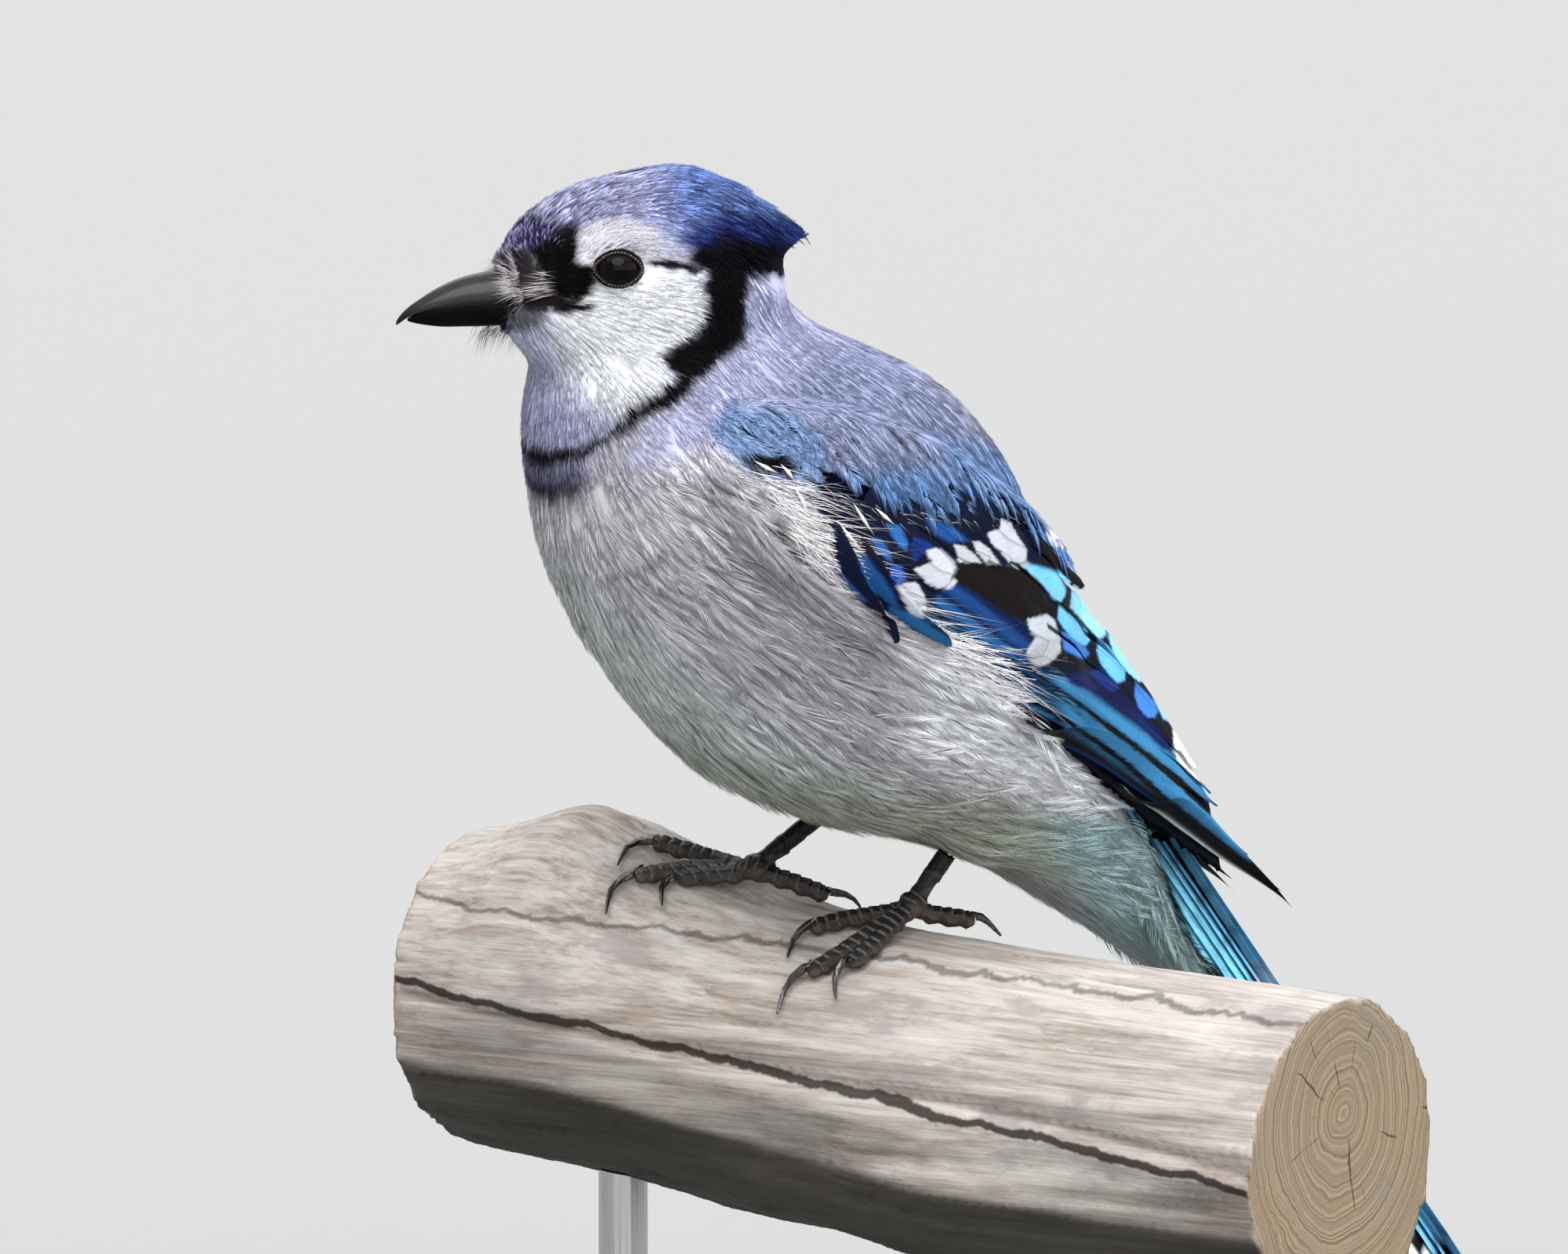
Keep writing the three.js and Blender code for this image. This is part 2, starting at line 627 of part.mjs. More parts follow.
// Legs, toes and claws, moulded to the top of the perch
Object.entries(LEGS).forEach(([side, leg]) => {
  const half = TOE_THICKNESS / 2;
  const [joint] = settle([leg.shank[2]], half);
  let foot = ball(lifted(joint), [2.5, 2.5, 2.3], 1);
  let footRoom = foot;
  Object.values(leg.toes).forEach((given) => {
    const line = settle(given, half * 0.9);
    foot = foot.add(limb(line, half, half, 4, 6));
    footRoom = footRoom.add(limb(line, half, half, 4, 6, GAP));
  });
  const down = vec(leg.shank[2]).sub(vec(leg.shank[1])).normalize();
  const bone = limb(leg.shank, SHANK_THICKNESS / 2, SHANK_THICKNESS / 2, 4, 8);
  const [ankle, shank] = split(bone, lifted(joint).addScaledVector(down, -2.6), down);
  addNode(`shank_${side}`, shank.subtract(fleshRoom), COLOURS.leg, 0.6);
  addNode(`toes_${side}`, foot.add(ankle).subtract(perchRoom), COLOURS.leg, 0.6);
  Object.entries(leg.claws).forEach(([toe, line]) => {
    const claw = limb(settle(line, CLAW_THICKNESS / 2), CLAW_THICKNESS / 2, 0.2, 5, 6).subtract(footRoom);
    addNode(`claw_${side}_${toe}`, claw, COLOURS.claw, 0.3);
  });
});

addNode("perch", perchSolid(), COLOURS.wood, 0.9);

// Stand: a rounded flat base and two rods up to the perch
function baseSolid() {
  const [width, depth, thickness] = BASE_SIZE;
  const [x, y, r] = [width / 2, depth / 2, BASE_CORNER];
  const outline = new THREE.Shape();
  outline.moveTo(-x + r, -y);
  outline.lineTo(x - r, -y);
  outline.absarc(x - r, -y + r, r, -Math.PI / 2, 0, false);
  outline.lineTo(x, y - r);
  outline.absarc(x - r, y - r, r, 0, Math.PI / 2, false);
  outline.lineTo(-x + r, y);
  outline.absarc(-x + r, y - r, r, Math.PI / 2, Math.PI, false);
  outline.lineTo(-x, -y + r);
  outline.absarc(-x + r, -y + r, r, Math.PI, 1.5 * Math.PI, false);
  return toSolid(new THREE.ExtrudeGeometry(outline, { depth: thickness, bevelEnabled: false, curveSegments: 5 }));
}
addNode("stand_base", baseSolid(), COLOURS.stand, 0.5);
ROD_SPOTS.forEach((station, i) => {
  const length = FOOT_LEVEL - 30;
  const rod = new THREE.CylinderGeometry(ROD_DIAMETER / 2, ROD_DIAMETER / 2, length, 18);
  rod.rotateX(Math.PI / 2);
  const spot = runX.clone().multiplyScalar(station).addScaledVector(runAcross, PERCH_OFFSET);
  rod.translate(spot.x, spot.y, BASE_SIZE[2] + GAP + length / 2);
  addNode(`stand_rod_${i + 1}`, toSolid(rod).subtract(perchRoom), COLOURS.rod, 0.35);
});

export default group;
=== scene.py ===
import json
import math
import bpy
import numpy as np
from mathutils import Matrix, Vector
from mathutils.bvhtree import BVHTree

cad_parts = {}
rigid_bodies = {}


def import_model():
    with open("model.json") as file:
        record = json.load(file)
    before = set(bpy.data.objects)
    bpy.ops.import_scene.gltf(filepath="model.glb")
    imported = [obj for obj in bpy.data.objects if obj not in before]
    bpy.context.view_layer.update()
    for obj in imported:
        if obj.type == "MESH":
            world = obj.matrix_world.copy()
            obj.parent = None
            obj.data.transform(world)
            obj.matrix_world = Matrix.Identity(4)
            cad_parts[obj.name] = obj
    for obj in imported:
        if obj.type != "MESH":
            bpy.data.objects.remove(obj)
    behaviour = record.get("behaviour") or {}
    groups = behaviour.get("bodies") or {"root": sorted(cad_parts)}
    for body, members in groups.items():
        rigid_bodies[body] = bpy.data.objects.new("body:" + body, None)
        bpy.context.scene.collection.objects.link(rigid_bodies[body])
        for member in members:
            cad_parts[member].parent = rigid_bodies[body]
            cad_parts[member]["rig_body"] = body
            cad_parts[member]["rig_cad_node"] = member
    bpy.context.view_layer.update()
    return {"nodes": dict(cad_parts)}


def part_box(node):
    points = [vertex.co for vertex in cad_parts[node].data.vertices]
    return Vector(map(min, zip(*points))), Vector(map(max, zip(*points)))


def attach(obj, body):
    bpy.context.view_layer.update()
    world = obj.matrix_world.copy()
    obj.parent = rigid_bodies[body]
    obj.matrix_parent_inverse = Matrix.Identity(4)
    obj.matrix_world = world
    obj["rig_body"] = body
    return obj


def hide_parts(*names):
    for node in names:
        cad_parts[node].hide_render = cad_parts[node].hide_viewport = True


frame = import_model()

draw = np.random.default_rng(11)
scene = bpy.context.scene

# The bird is measured in millimetres, with heights over the wood under its feet.
footLevel = np.array([0.0, 0.0, 106.0])


def toBird(points):
    return np.asarray(points, float) * 1000 - footLevel


def toWorld(points):
    return (np.asarray(points, float) + footLevel) / 1000


def unit(vectors):
    return vectors / np.maximum(np.linalg.norm(vectors, axis=-1, keepdims=True), 1e-9)


def paint(red, green, blue):  # a colour as a picker shows it, 0 to 255, made linear
    shown = np.array([red, green, blue], float) / 255
    return np.where(shown > 0.04045, ((shown + 0.055) / 1.055) ** 2.4, shown / 12.92)


def blend(first, second, much):  # the first where much is 0, the second where it is 1
    much = np.asarray(much, float).reshape(-1, 1)
    return first * (1 - much) + second * much


def clearSelection():
    if bpy.context.object and bpy.context.object.mode != "OBJECT":
        bpy.ops.object.mode_set(mode="OBJECT")
    bpy.ops.object.select_all(action="DESELECT")


def pick(piece):
    clearSelection()
    piece.select_set(True)
    bpy.context.view_layer.objects.active = piece
    return piece


# Camera, at the angle the bird was seen from: its left side, a little from the front.
cameraView = {
    "azimuth": 62,
    "elevation": 7,
    "lens": 420,
    "distance": 2916.7,  # mm
    "target": (-9.2, -6.43, 41.56),
}
turn = math.radians(cameraView["azimuth"])
rise = math.radians(cameraView["elevation"])
lookBack = np.array([math.sin(turn) * math.cos(rise), -math.cos(turn) * math.cos(rise), math.sin(rise)])
lookAcross = np.array([math.cos(turn), math.sin(turn), 0])
lookUp = np.cross(lookBack, lookAcross)
eyePoint = np.array(cameraView["target"]) + lookBack * cameraView["distance"]
frameWide, frameHigh = 2000, 1600
focal = cameraView["lens"] / 36 * frameWide

cameraData = bpy.data.cameras.new("camera")
cameraData.lens = cameraView["lens"]
cameraData.sensor_width = 36
camera = bpy.data.objects.new("camera", cameraData)
scene.collection.objects.link(camera)
camera.location = toWorld(eyePoint)
camera.rotation_mode = "QUATERNION"
camera.rotation_quaternion = (-Vector(lookBack)).to_track_quat("-Z", "Y")
scene.camera = camera
scene.view_settings.view_transform = "Standard"


def chartOf(points):  # where points show in the frame
    away = points - eyePoint
    depth = -(away @ lookBack)
    across = frameWide / 2 + focal * (away @ lookAcross) / depth
    down = frameHigh / 2 - focal * (away @ lookUp) / depth
    return np.stack([across, down], axis=-1)


def rayThrough(place):  # direction from the camera through a place in the frame
    across = (place[0] - frameWide / 2) / focal
    down = (place[1] - frameHigh / 2) / focal
    return unit(-lookBack + lookAcross * across - lookUp * down)


# Floor and soft studio light. The floor is as bright as the air behind it: no edge shows between them.
studio = {
    "floor": (0.260, 0.2625, 0.260),
    "air": (0.985, 0.99, 1.0),
    "airStrength": 0.68,
    # name: where the light comes from, its strength, how wide its disc is in degrees, colour
    "lamps": {
        "key": ((0.55, -0.35, 1.30), 3.2, 50, (1.0, 0.985, 0.965)),
        "top": ((0.0, 0.0, 1.0), 1.8, 80, (0.98, 0.99, 1.0)),
        "front": ((0.90, -0.45, 0.35), 1.6, 60, (1.0, 1.0, 0.99)),
        "rear": ((0.75, 0.45, 0.25), 1.4, 60, (1.0, 1.0, 1.0)),
        "rim": ((-0.80, 0.35, 0.75), 0.8, 40, (0.97, 0.98, 1.0)),
    },
}
world = bpy.data.worlds.new("air")
scene.world = world
world.use_nodes = True
world.node_tree.nodes["Background"].inputs["Color"].default_value = (*studio["air"], 1)
world.node_tree.nodes["Background"].inputs["Strength"].default_value = studio["airStrength"]
for name, (place, power, wide, tint) in studio["lamps"].items():
    lampData = bpy.data.lights.new(name, "SUN")
    lampData.angle = math.radians(wide)
    lampData.energy = power
    lampData.color = tint
    lamp = bpy.data.objects.new(name, lampData)
    scene.collection.objects.link(lamp)
    lamp.location = place
    lamp.rotation_mode = "QUATERNION"
    lamp.rotation_quaternion = (-Vector(place)).to_track_quat("-Z", "Y")
print("camera and light set")


# Shader maths: a Wire is a socket that can be added, multiplied and mixed.
class Wire:
    def __init__(self, tree, socket=None):
        self.tree = tree
        self.socket = socket

    def make(self, kind, settings=None, inputs=None, output=0):  # output: which socket of the new node
        node = self.tree.nodes.new("ShaderNode" + kind)
        for key, value in (settings or {}).items():
            if key == "stops":
                elements = node.color_ramp.elements
                while len(elements) < len(value):
                    elements.new(0.5)
                for element, (place, tint) in zip(elements, value):
                    element.position = place
                    element.color = (*tint, 1)
            else:
                setattr(node, key, value)
        for key, value in (inputs or {}).items():
            if isinstance(value, Wire):
                self.tree.links.new(value.socket, node.inputs[key])
            else:
                node.inputs[key].default_value = value
        return Wire(self.tree, node.outputs[output])

    def output(self, number):
        return Wire(self.tree, self.socket.node.outputs[number])

    def sum(self, operation, *values):
        return self.make("Math", {"operation": operation}, dict(enumerate(values)))

    def __add__(self, other):
        return self.sum("ADD", self, other)

    __radd__ = __add__

    def __sub__(self, other):
        return self.sum("SUBTRACT", self, other)

    def __rsub__(self, other):
        return self.sum("SUBTRACT", other, self)

    def __mul__(self, other):
        return self.sum("MULTIPLY", self, other)

    __rmul__ = __mul__

    def between(self, low, high):  # 0 below low, 1 above high, soft between
        settings = {"interpolation_type": "SMOOTHSTEP"}
        limits = {"From Min": low, "From Max": high}
        return self.make("MapRange", settings, {"Value": self, **limits})

    def mix(self, first, second):  # self is how much of second
        tints = [tint if isinstance(tint, Wire) else (*tint, 1) for tint in (first, second)]
        return self.make("Mix", {"data_type": "RGBA"}, {0: self, 6: tints[0], 7: tints[1]}, 2)

    def times(self, tint):  # this colour, shaded by another
        settings = {"data_type": "RGBA", "blend_type": "MULTIPLY"}
        return self.make("Mix", settings, {0: 1.0, 6: self, 7: tint}, 2)

    def vector(self, x, y=0.0, z=0.0):
        return self.make("CombineXYZ", None, {0: x, 1: y, 2: z})

    def stretch(self, scale):
        return self.make("Mapping", None, {"Vector": self, "Scale": scale})

    def noise(self, scale, detail=4, rough=0.55):
        settings = {"Vector": self, "Scale": scale, "Detail": detail, "Roughness": rough}
        return self.make("TexNoise", None, settings)

    def bump(self, height, strength, distance):
        return self.make("Bump", None, {"Height": height, "Strength": strength, "Distance": distance})


def finish(name, build, shine=0.5, **fixed):  # build: a function that says what goes into the shader
    made = bpy.data.materials.new(name)
    made.use_nodes = True
    tree = made.node_tree
    shader = tree.nodes["Principled BSDF"]
    start = Wire(tree)
    here = start.make("TexCoord", None, None, 3)  # Object coordinates, metres
    for key, value in {"Specular IOR Level": shine, **fixed, **build(start, here)}.items():
        if isinstance(value, Wire):
            tree.links.new(value.socket, shader.inputs[key])
        else:
            shader.inputs[key].default_value = value
    return made


def floorLook(start, here):
    mottle = here.noise(3.0, 3)
    return {"Base Color": mottle.mix(tuple(c * 0.98 for c in studio["floor"]), studio["floor"]),
            "Roughness": 0.75 + mottle * 0.1}


clearSelection()
bpy.ops.mesh.primitive_plane_add(size=60, location=(0, 0, 0))
floor = bpy.context.object
floor.name = "floor"
floor.data.materials.append(finish("floorLook", floorLook))


# Small tools that every piece uses.
def cloud(points, size, seed=0):  # smooth noise over space, about -1 to 1
    spot = np.asarray(points, float) / size + 31.7 * seed + 500
    cell = np.floor(spot).astype(np.int64)
    part = spot - cell
    part = part * part * (3 - 2 * part)
    total = np.zeros(len(spot))
    for corner in np.ndindex(2, 2, 2):
        at = cell + corner
        mixed = (at[:, 0] * 73856093) ^ (at[:, 1] * 19349663) ^ (at[:, 2] * 83492791)
        mixed = ((mixed & 0xFFFFFFF) * 2654435761) & 0xFFFFFFFF
        mixed = ((mixed ^ (mixed >> 15)) * 2246822519) & 0xFFFFFFFF
        weight = np.prod(np.where(corner, part, 1 - part), axis=1)
        total += weight * (mixed ^ (mixed >> 13)) / 0xFFFFFFFF
    return total * 2 - 1


def ramp(value, low, high):  # 0 below low, 1 above high
    part = np.clip((np.asarray(value, float) - low) / (high - low), 0, 1)
    return part * part * (3 - 2 * part)


def besideEdge(places, a, b):  # how far along an edge each place lies, from 0 to 1, and how far from it
    edge = b - a
    part = np.clip(((places - a) @ edge) / (edge @ edge), 0, 1)
    return part, np.linalg.norm(places - a - part[:, None] * edge, axis=1)


def meshArrays(piece):  # corners and triangles of a piece, in bird millimetres
    mesh = piece.data
    mesh.calc_loop_triangles()
    corners = np.empty(len(mesh.vertices) * 3)
    mesh.vertices.foreach_get("co", corners)
    triangles = np.empty(len(mesh.loop_triangles) * 3, np.int32)
    mesh.loop_triangles.foreach_get("vertices", triangles)
    return toBird(corners.reshape(-1, 3)), triangles.reshape(-1, 3)


def setCorners(piece, points):
    piece.data.vertices.foreach_set("co", toWorld(points).ravel())
    piece.data.update()


def paintCorners(piece, tints, name="Plumage"):
    layer = piece.data.color_attributes.new(name, "FLOAT_COLOR", "POINT")
    tints = np.column_stack([tints, np.ones(len(tints))])
    layer.data.foreach_set("color", tints.astype(np.float32).ravel())


def wear(piece, look):
    piece.data.materials.clear()
    piece.data.materials.append(look)


def editAll(piece):  # edit mode, with the whole mesh picked
    pick(piece)
    bpy.ops.object.mode_set(mode="EDIT")
    bpy.ops.mesh.select_all(action="SELECT")


def facesOut(piece):
    editAll(piece)
    bpy.ops.mesh.normals_make_consistent(inside=False)
    bpy.ops.object.mode_set(mode="OBJECT")


def shapeOf(piece):  # corners and faces of a shape that is copied many times; the piece itself goes
    corners = np.array([corner.co for corner in piece.data.vertices])
    faces = np.array([list(face.vertices) for face in piece.data.polygons])
    bpy.data.objects.remove(piece)
    return corners, faces


def newPiece(name, points, faces, look, tints=None, maps=None):
    mesh = bpy.data.meshes.new(name)
    number, loops = len(faces), faces.ravel()
    mesh.vertices.add(len(points))
    mesh.vertices.foreach_set("co", toWorld(points).ravel())
    mesh.loops.add(len(loops))
    mesh.loops.foreach_set("vertex_index", loops.astype(np.int32))
    mesh.polygons.add(number)
    mesh.polygons.foreach_set("loop_start", np.arange(number, dtype=np.int32) * faces.shape[1])
    mesh.polygons.foreach_set("use_smooth", np.ones(number, bool))
    mesh.update(calc_edges=True)
    mesh.validate()
    piece = bpy.data.objects.new(name, mesh)
    scene.collection.objects.link(piece)
    if tints is not None:
        paintCorners(piece, tints)
    for mapName, places in (maps or {}).items():
        layer = mesh.uv_layers.new(name=mapName)
        layer.data.foreach_set("uv", places[loops].astype(np.float32).ravel())
    mesh.materials.append(look)
    return piece


def place(piece, slotName, *nodes):
    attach(piece, "root")
    if nodes:
        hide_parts(*nodes)


def alongLine(line, parts):  # points at even lengths on a smooth line
    line = np.asarray(line, float)
    padded = np.vstack([2 * line[0] - line[1], line, 2 * line[-1] - line[-2]])
    dense = []
    for k in range(1, len(padded) - 2):
        a, b, c, d = padded[k - 1:k + 3]
        for t in np.linspace(0, 1, 24, endpoint=False):
            dense.append(0.5 * (2 * b + (c - a) * t + (2 * a - 5 * b + 4 * c - d) * t ** 2
                                + (3 * b - a - 3 * c + d) * t ** 3))
    dense.append(line[-1])
    dense = np.array(dense)
    run = np.concatenate([[0], np.cumsum(np.linalg.norm(np.diff(dense, axis=0), axis=1))])
    steps = np.linspace(0, run[-1], parts) if np.isscalar(parts) else np.asarray(parts) * run[-1]
    return np.stack([np.interp(steps, run, dense[:, k]) for k in range(dense.shape[1])], axis=1)


def loft(name, rings):  # a circle is extruded ring by ring, and each ring's corners set
    clearSelection()
    bpy.ops.mesh.primitive_circle_add(vertices=len(rings[0]), radius=0.001, fill_type="NGON")
    piece = bpy.context.object
    piece.name = name
    bpy.ops.object.mode_set(mode="EDIT")
    for _ in rings[1:]:
        bpy.ops.mesh.extrude_region_move(TRANSFORM_OT_translate={"value": (0, 0, 0.001)})
    bpy.ops.object.mode_set(mode="OBJECT")
    corners = np.empty(len(piece.data.vertices) * 3)
    piece.data.vertices.foreach_get("co", corners)
    corners = corners.reshape(-1, 3)
    level = np.rint((corners[:, 2] - corners[:, 2].min()) / 0.001).astype(int)
    around = np.rint(np.arctan2(corners[:, 0], corners[:, 1]) / (2 * math.pi) * len(rings[0])).astype(int)
    setCorners(piece, np.asarray(rings)[level, around % len(rings[0])])
    facesOut(piece)
    bpy.ops.object.shade_smooth()
    bpy.ops.object.transform_apply(location=True, rotation=True, scale=True)
    return piece


def joined(name, parts):
    clearSelection()
    for part in parts:
        part.select_set(True)
    bpy.context.view_layer.objects.active = parts[0]
    bpy.ops.object.join()
    piece = bpy.context.object
    piece.name = name
    return piece


def copyNodes(name, nodes):  # CAD solids copied and merged, the originals left alone
    twins = []
    for node in nodes:
        twin = frame["nodes"][node].copy()
        twin.data = twin.data.copy()
        twin.parent = None
        del twin["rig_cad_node"]
        del twin["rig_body"]
        scene.collection.objects.link(twin)
        twins.append(twin)
    piece = joined(name, twins)
    piece.data.materials.clear()
    editAll(piece)
    bpy.ops.mesh.remove_doubles(threshold=1e-6)
    bpy.ops.object.mode_set(mode="OBJECT")
    return piece


def useModifier(piece, kind, **settings):
    pick(piece)
    added = piece.modifiers.new(kind.lower(), kind)
    for key, value in settings.items():
        setattr(added, key, value)
    bpy.ops.object.modifier_apply(modifier=added.name)


# The eyes come first, because the skin and the coat leave room for them.
eyes = {
    "ball": 4.3,
    "opening": 3.3,
    "flat": 0.80,  # how tall the opening is for its length
    "forward": 7.4,
    "side": 10.4,
    "up": 2.1,
    "axis": (0.20, 0.97, 0.10),  # which way the eye looks, in the head's own directions
}
headCentre = np.array([-2.0, -34.0, 100.0])
headTurn = math.radians(16)
headForward = np.array([-math.sin(headTurn), -math.cos(headTurn), 0])
headLeft = np.array([math.cos(headTurn), -math.sin(headTurn), 0])
headUp = np.array([0.0, 0.0, 1.0])


def fromHead(places):  # forward, left, up to the bird's own measure
    places = np.asarray(places, float)
    return headCentre + places[..., :1] * headForward + places[..., 1:2] * headLeft + places[..., 2:] * headUp


def toHead(points):
    away = points - headCentre
    return np.stack([away @ headForward, away @ headLeft, away @ headUp], axis=-1)


def headWay(directions):
    directions = np.asarray(directions, float)
    return directions[..., :1] * headForward + directions[..., 1:2] * headLeft + directions[..., 2:] * headUp


eyeSpots = []
for side in (1, -1):
    middle = fromHead([eyes["forward"], eyes["side"] * side, eyes["up"]])
    axis = unit(headWay([eyes["axis"][0], eyes["axis"][1] * side, eyes["axis"][2]]))
    eyeSpots.append((middle, axis))


# Both sides of the bird wear the same markings, so each point is looked up on the side that was seen.
def nearness(points):  # 1 on the head, 0 on the body
    return 1 - ramp(np.linalg.norm(points - headCentre - [0, 0, -2], axis=1), 27, 37)


def toSeenSide(points):
    head = toHead(points)
    asHead = fromHead(np.stack([head[:, 0], np.abs(head[:, 1]), head[:, 2]], axis=1))
    lean = -4.0 * ramp(points[:, 2], 52, 92)
    asBody = points.copy()
    asBody[:, 0] = lean + np.abs(points[:, 0] - lean)
    return blend(asBody, asHead, nearness(points))


def within(chart, corners, soft):  # 1 inside a patch of the frame, 0 outside, soft at its edge
    corners = np.asarray(corners, float)
    nearest = np.full(len(chart), np.inf)
    inside = np.zeros(len(chart), bool)
    for a, b in zip(corners, np.roll(corners, -1, axis=0)):
        nearest = np.minimum(nearest, besideEdge(chart, a, b)[1])
        crosses = (a[1] > chart[:, 1]) != (b[1] > chart[:, 1])
        fall = b[1] - a[1] or 1e-9
        inside ^= crosses & (chart[:, 0] < a[0] + (b[0] - a[0]) * (chart[:, 1] - a[1]) / fall)
    return ramp(np.where(inside, nearest, -nearest), -soft, soft)


# Markings, as patches of colour laid over each other: corners in the frame, softness, colour.
plainTint = (190, 188, 195)
markings = {
    "lowerBreast": [[(640, 690), (720, 720), (800, 790), (880, 860), (1010, 950), (1130, 1010),
        (1200, 1120), (900, 1060), (700, 850)], 45, (206, 214, 214)],
    "belly": [[(860, 960), (1010, 1000), (1180, 1010), (1330, 1030), (1400, 1120), (1250, 1130),
        (1000, 1080)], 40, (170, 176, 164)],
    "paleFlank": [[(1150, 815), (1300, 880), (1420, 940), (1500, 1030), (1450, 1060), (1300, 1010),
        (1170, 950)], 40, (248, 251, 255)],
    "paleNeck": [[(850, 545), (905, 520), (925, 560), (900, 610), (850, 600)], 28, (246, 243, 252)],
    "vent": [[(1330, 1050), (1480, 1030), (1530, 1150), (1590, 1270), (1560, 1290), (1400, 1190)], 30,
        (168, 196, 197)],
    # painted shade where the vent feathers meet the tail
    "shadeAtTailRoot": [[(1464, 1036), (1480, 1110), (1506, 1190), (1558, 1268), (1700, 1270), (1700, 1120),
        (1545, 1015)], 5, (10, 12, 22)],
    "neck": [[(930, 320), (1060, 340), (1120, 450), (1010, 560), (900, 580), (800, 600), (830, 530),
        (900, 470)], 34, (184, 186, 216)],
    "nape": [[(950, 330), (1050, 340), (1100, 440), (1040, 460), (980, 440)], 26, (200, 202, 234)],
    "mantle": [[(1040, 440), (1150, 430), (1420, 700), (1400, 760), (1290, 690), (1090, 670), (1000, 620),
        (960, 560), (1000, 500)], 30, (150, 158, 191)],
    "lowerMantle": [[(1060, 610), (1150, 600), (1230, 600), (1330, 590), (1420, 700), (1300, 700),
        (1150, 690), (1050, 670)], 26, (98, 136, 186)],
    "rearMantle": [[(1200, 560), (1290, 580), (1340, 650), (1290, 660), (1220, 640)], 24, (126, 156, 202)],
    "rump": [[(1360, 560), (1700, 640), (1700, 1120), (1545, 1015), (1440, 930), (1330, 850), (1250, 740),
        (1290, 690)], 24, (108, 150, 214)],
    "shoulderPatch": [[(905, 548), (930, 515), (1000, 522), (1045, 555), (1065, 615), (1010, 610),
        (950, 600)], 10, (130, 158, 201)],
    # a near-black patch below the collar: dark violet-blue feathers, with painted shadow under the throat
    "breastShadePatch": [[(668, 588), (735, 583), (748, 600), (740, 634), (700, 650), (664, 640)], 16,
        (14, 16, 36)],
    # painted shade in the gap below the shoulder patch
    "shoulderGapShade": [[(948, 583), (985, 580), (1014, 592), (1012, 606), (985, 601), (955, 603)], 3,
        (12, 12, 18)],
    "throat": [[(600, 370), (900, 340), (900, 480), (800, 545), (740, 582), (660, 600), (620, 500)], 5,
        (200, 204, 226)],
    "throatLow": [[(640, 470), (695, 480), (735, 530), (790, 535), (745, 600), (650, 610)], 36,
        (172, 172, 206)],
    "cheek": [[(700, 400), (760, 352), (892, 344), (908, 388), (890, 430), (852, 462), (860, 500),
        (825, 525), (780, 530), (740, 500), (710, 440)], 24, (238, 240, 244)],
    "brow": [[(738, 320), (754, 296), (791, 280), (813, 284), (845, 294), (880, 314), (903, 334),
        (877, 343), (850, 341), (824, 333), (806, 320), (781, 316), (760, 326), (742, 340)], 4,
        (198, 196, 207)],
    "crown": [[(620, 330), (640, 270), (690, 215), (780, 180), (870, 175), (960, 185), (1080, 250),
        (1080, 320), (968, 308), (904, 322), (877, 310), (842, 291), (802, 277), (770, 279), (735, 290),
        (712, 296), (690, 310)], 4, (182, 186, 218)],
    "crownRear": [[(850, 170), (960, 180), (1090, 260), (1080, 322), (968, 310), (904, 322), (868, 300),
        (850, 262)], 44, (114, 142, 208)],
    "crestEdge": [[(985, 235), (1050, 252), (1080, 300), (1010, 296), (985, 275)], 14, (74, 112, 150)],
    "crestBlue": [[(868, 306), (890, 288), (925, 272), (960, 270), (1000, 280), (1075, 280), (1075, 322),
        (968, 320), (890, 320)], 12, (44, 64, 132)],
    "crestLow": [[(888, 310), (930, 296), (960, 302), (1005, 304), (1014, 318), (968, 322), (900, 320)], 7,
        (18, 26, 76)],
    "forehead": [[(630, 326), (640, 284), (664, 262), (684, 272), (700, 282), (735, 286), (740, 300),
        (700, 310), (676, 322)], 8, (70, 64, 100)],
    "underCrest": [[(880, 322), (904, 312), (925, 300), (945, 305), (968, 312), (1000, 314), (1075, 312),
        (1075, 346), (1010, 357), (985, 354), (955, 357), (930, 352), (893, 345), (880, 335)], 5,
        (9, 9, 16)],
    "collar": [[(893, 338), (956, 345), (957, 370), (952, 404), (952, 430), (939, 449), (918, 464),
        (897, 485), (879, 500), (864, 518), (840, 527), (816, 541), (792, 556), (768, 571), (752, 583),
        (727, 592), (690, 602), (664, 600), (664, 580), (699, 574), (744, 571), (768, 559), (792, 536),
        (810, 518), (837, 506), (855, 491), (866, 478), (846, 464), (843, 453), (864, 440), (886, 428),
        (897, 410), (903, 392), (898, 368), (902, 345)], 4, (15, 13, 17)],
    "eyeLine": [[(812, 331), (850, 333), (884, 338), (900, 347), (884, 349), (850, 344), (822, 341)], 3,
        (24, 20, 32)],
    "lores": [[(684, 338), (676, 318), (700, 300), (722, 288), (738, 292), (736, 314), (736, 330),
        (762, 340), (764, 362), (756, 376), (738, 386), (700, 378), (684, 372), (690, 356)], 4, (4, 4, 5)],
    "nostril": [[(560, 378), (610, 335), (646, 318), (680, 322), (688, 346), (690, 368), (660, 374)], 5,
        (44, 40, 44)],
    "gape": [[(600, 368), (660, 370), (695, 368), (715, 378), (745, 386), (762, 392), (750, 400),
        (700, 398), (690, 404), (660, 410), (600, 410)], 4, (22, 20, 23)],
    "chin": [[(600, 398), (690, 398), (700, 408), (680, 424), (640, 426)], 8, (96, 96, 104)],
}


def plumage(points):
    seen = toSeenSide(points)
    chart = chartOf(seen)
    chart = chart + 5 * np.stack([cloud(points, 1.6, 1), cloud(points, 1.6, 2)], axis=1)
    tints = np.tile(paint(*plainTint), (len(points), 1))
    for corners, soft, tint in markings.values():
        tints = blend(tints, paint(*tint), within(chart, corners, soft))
    return tints


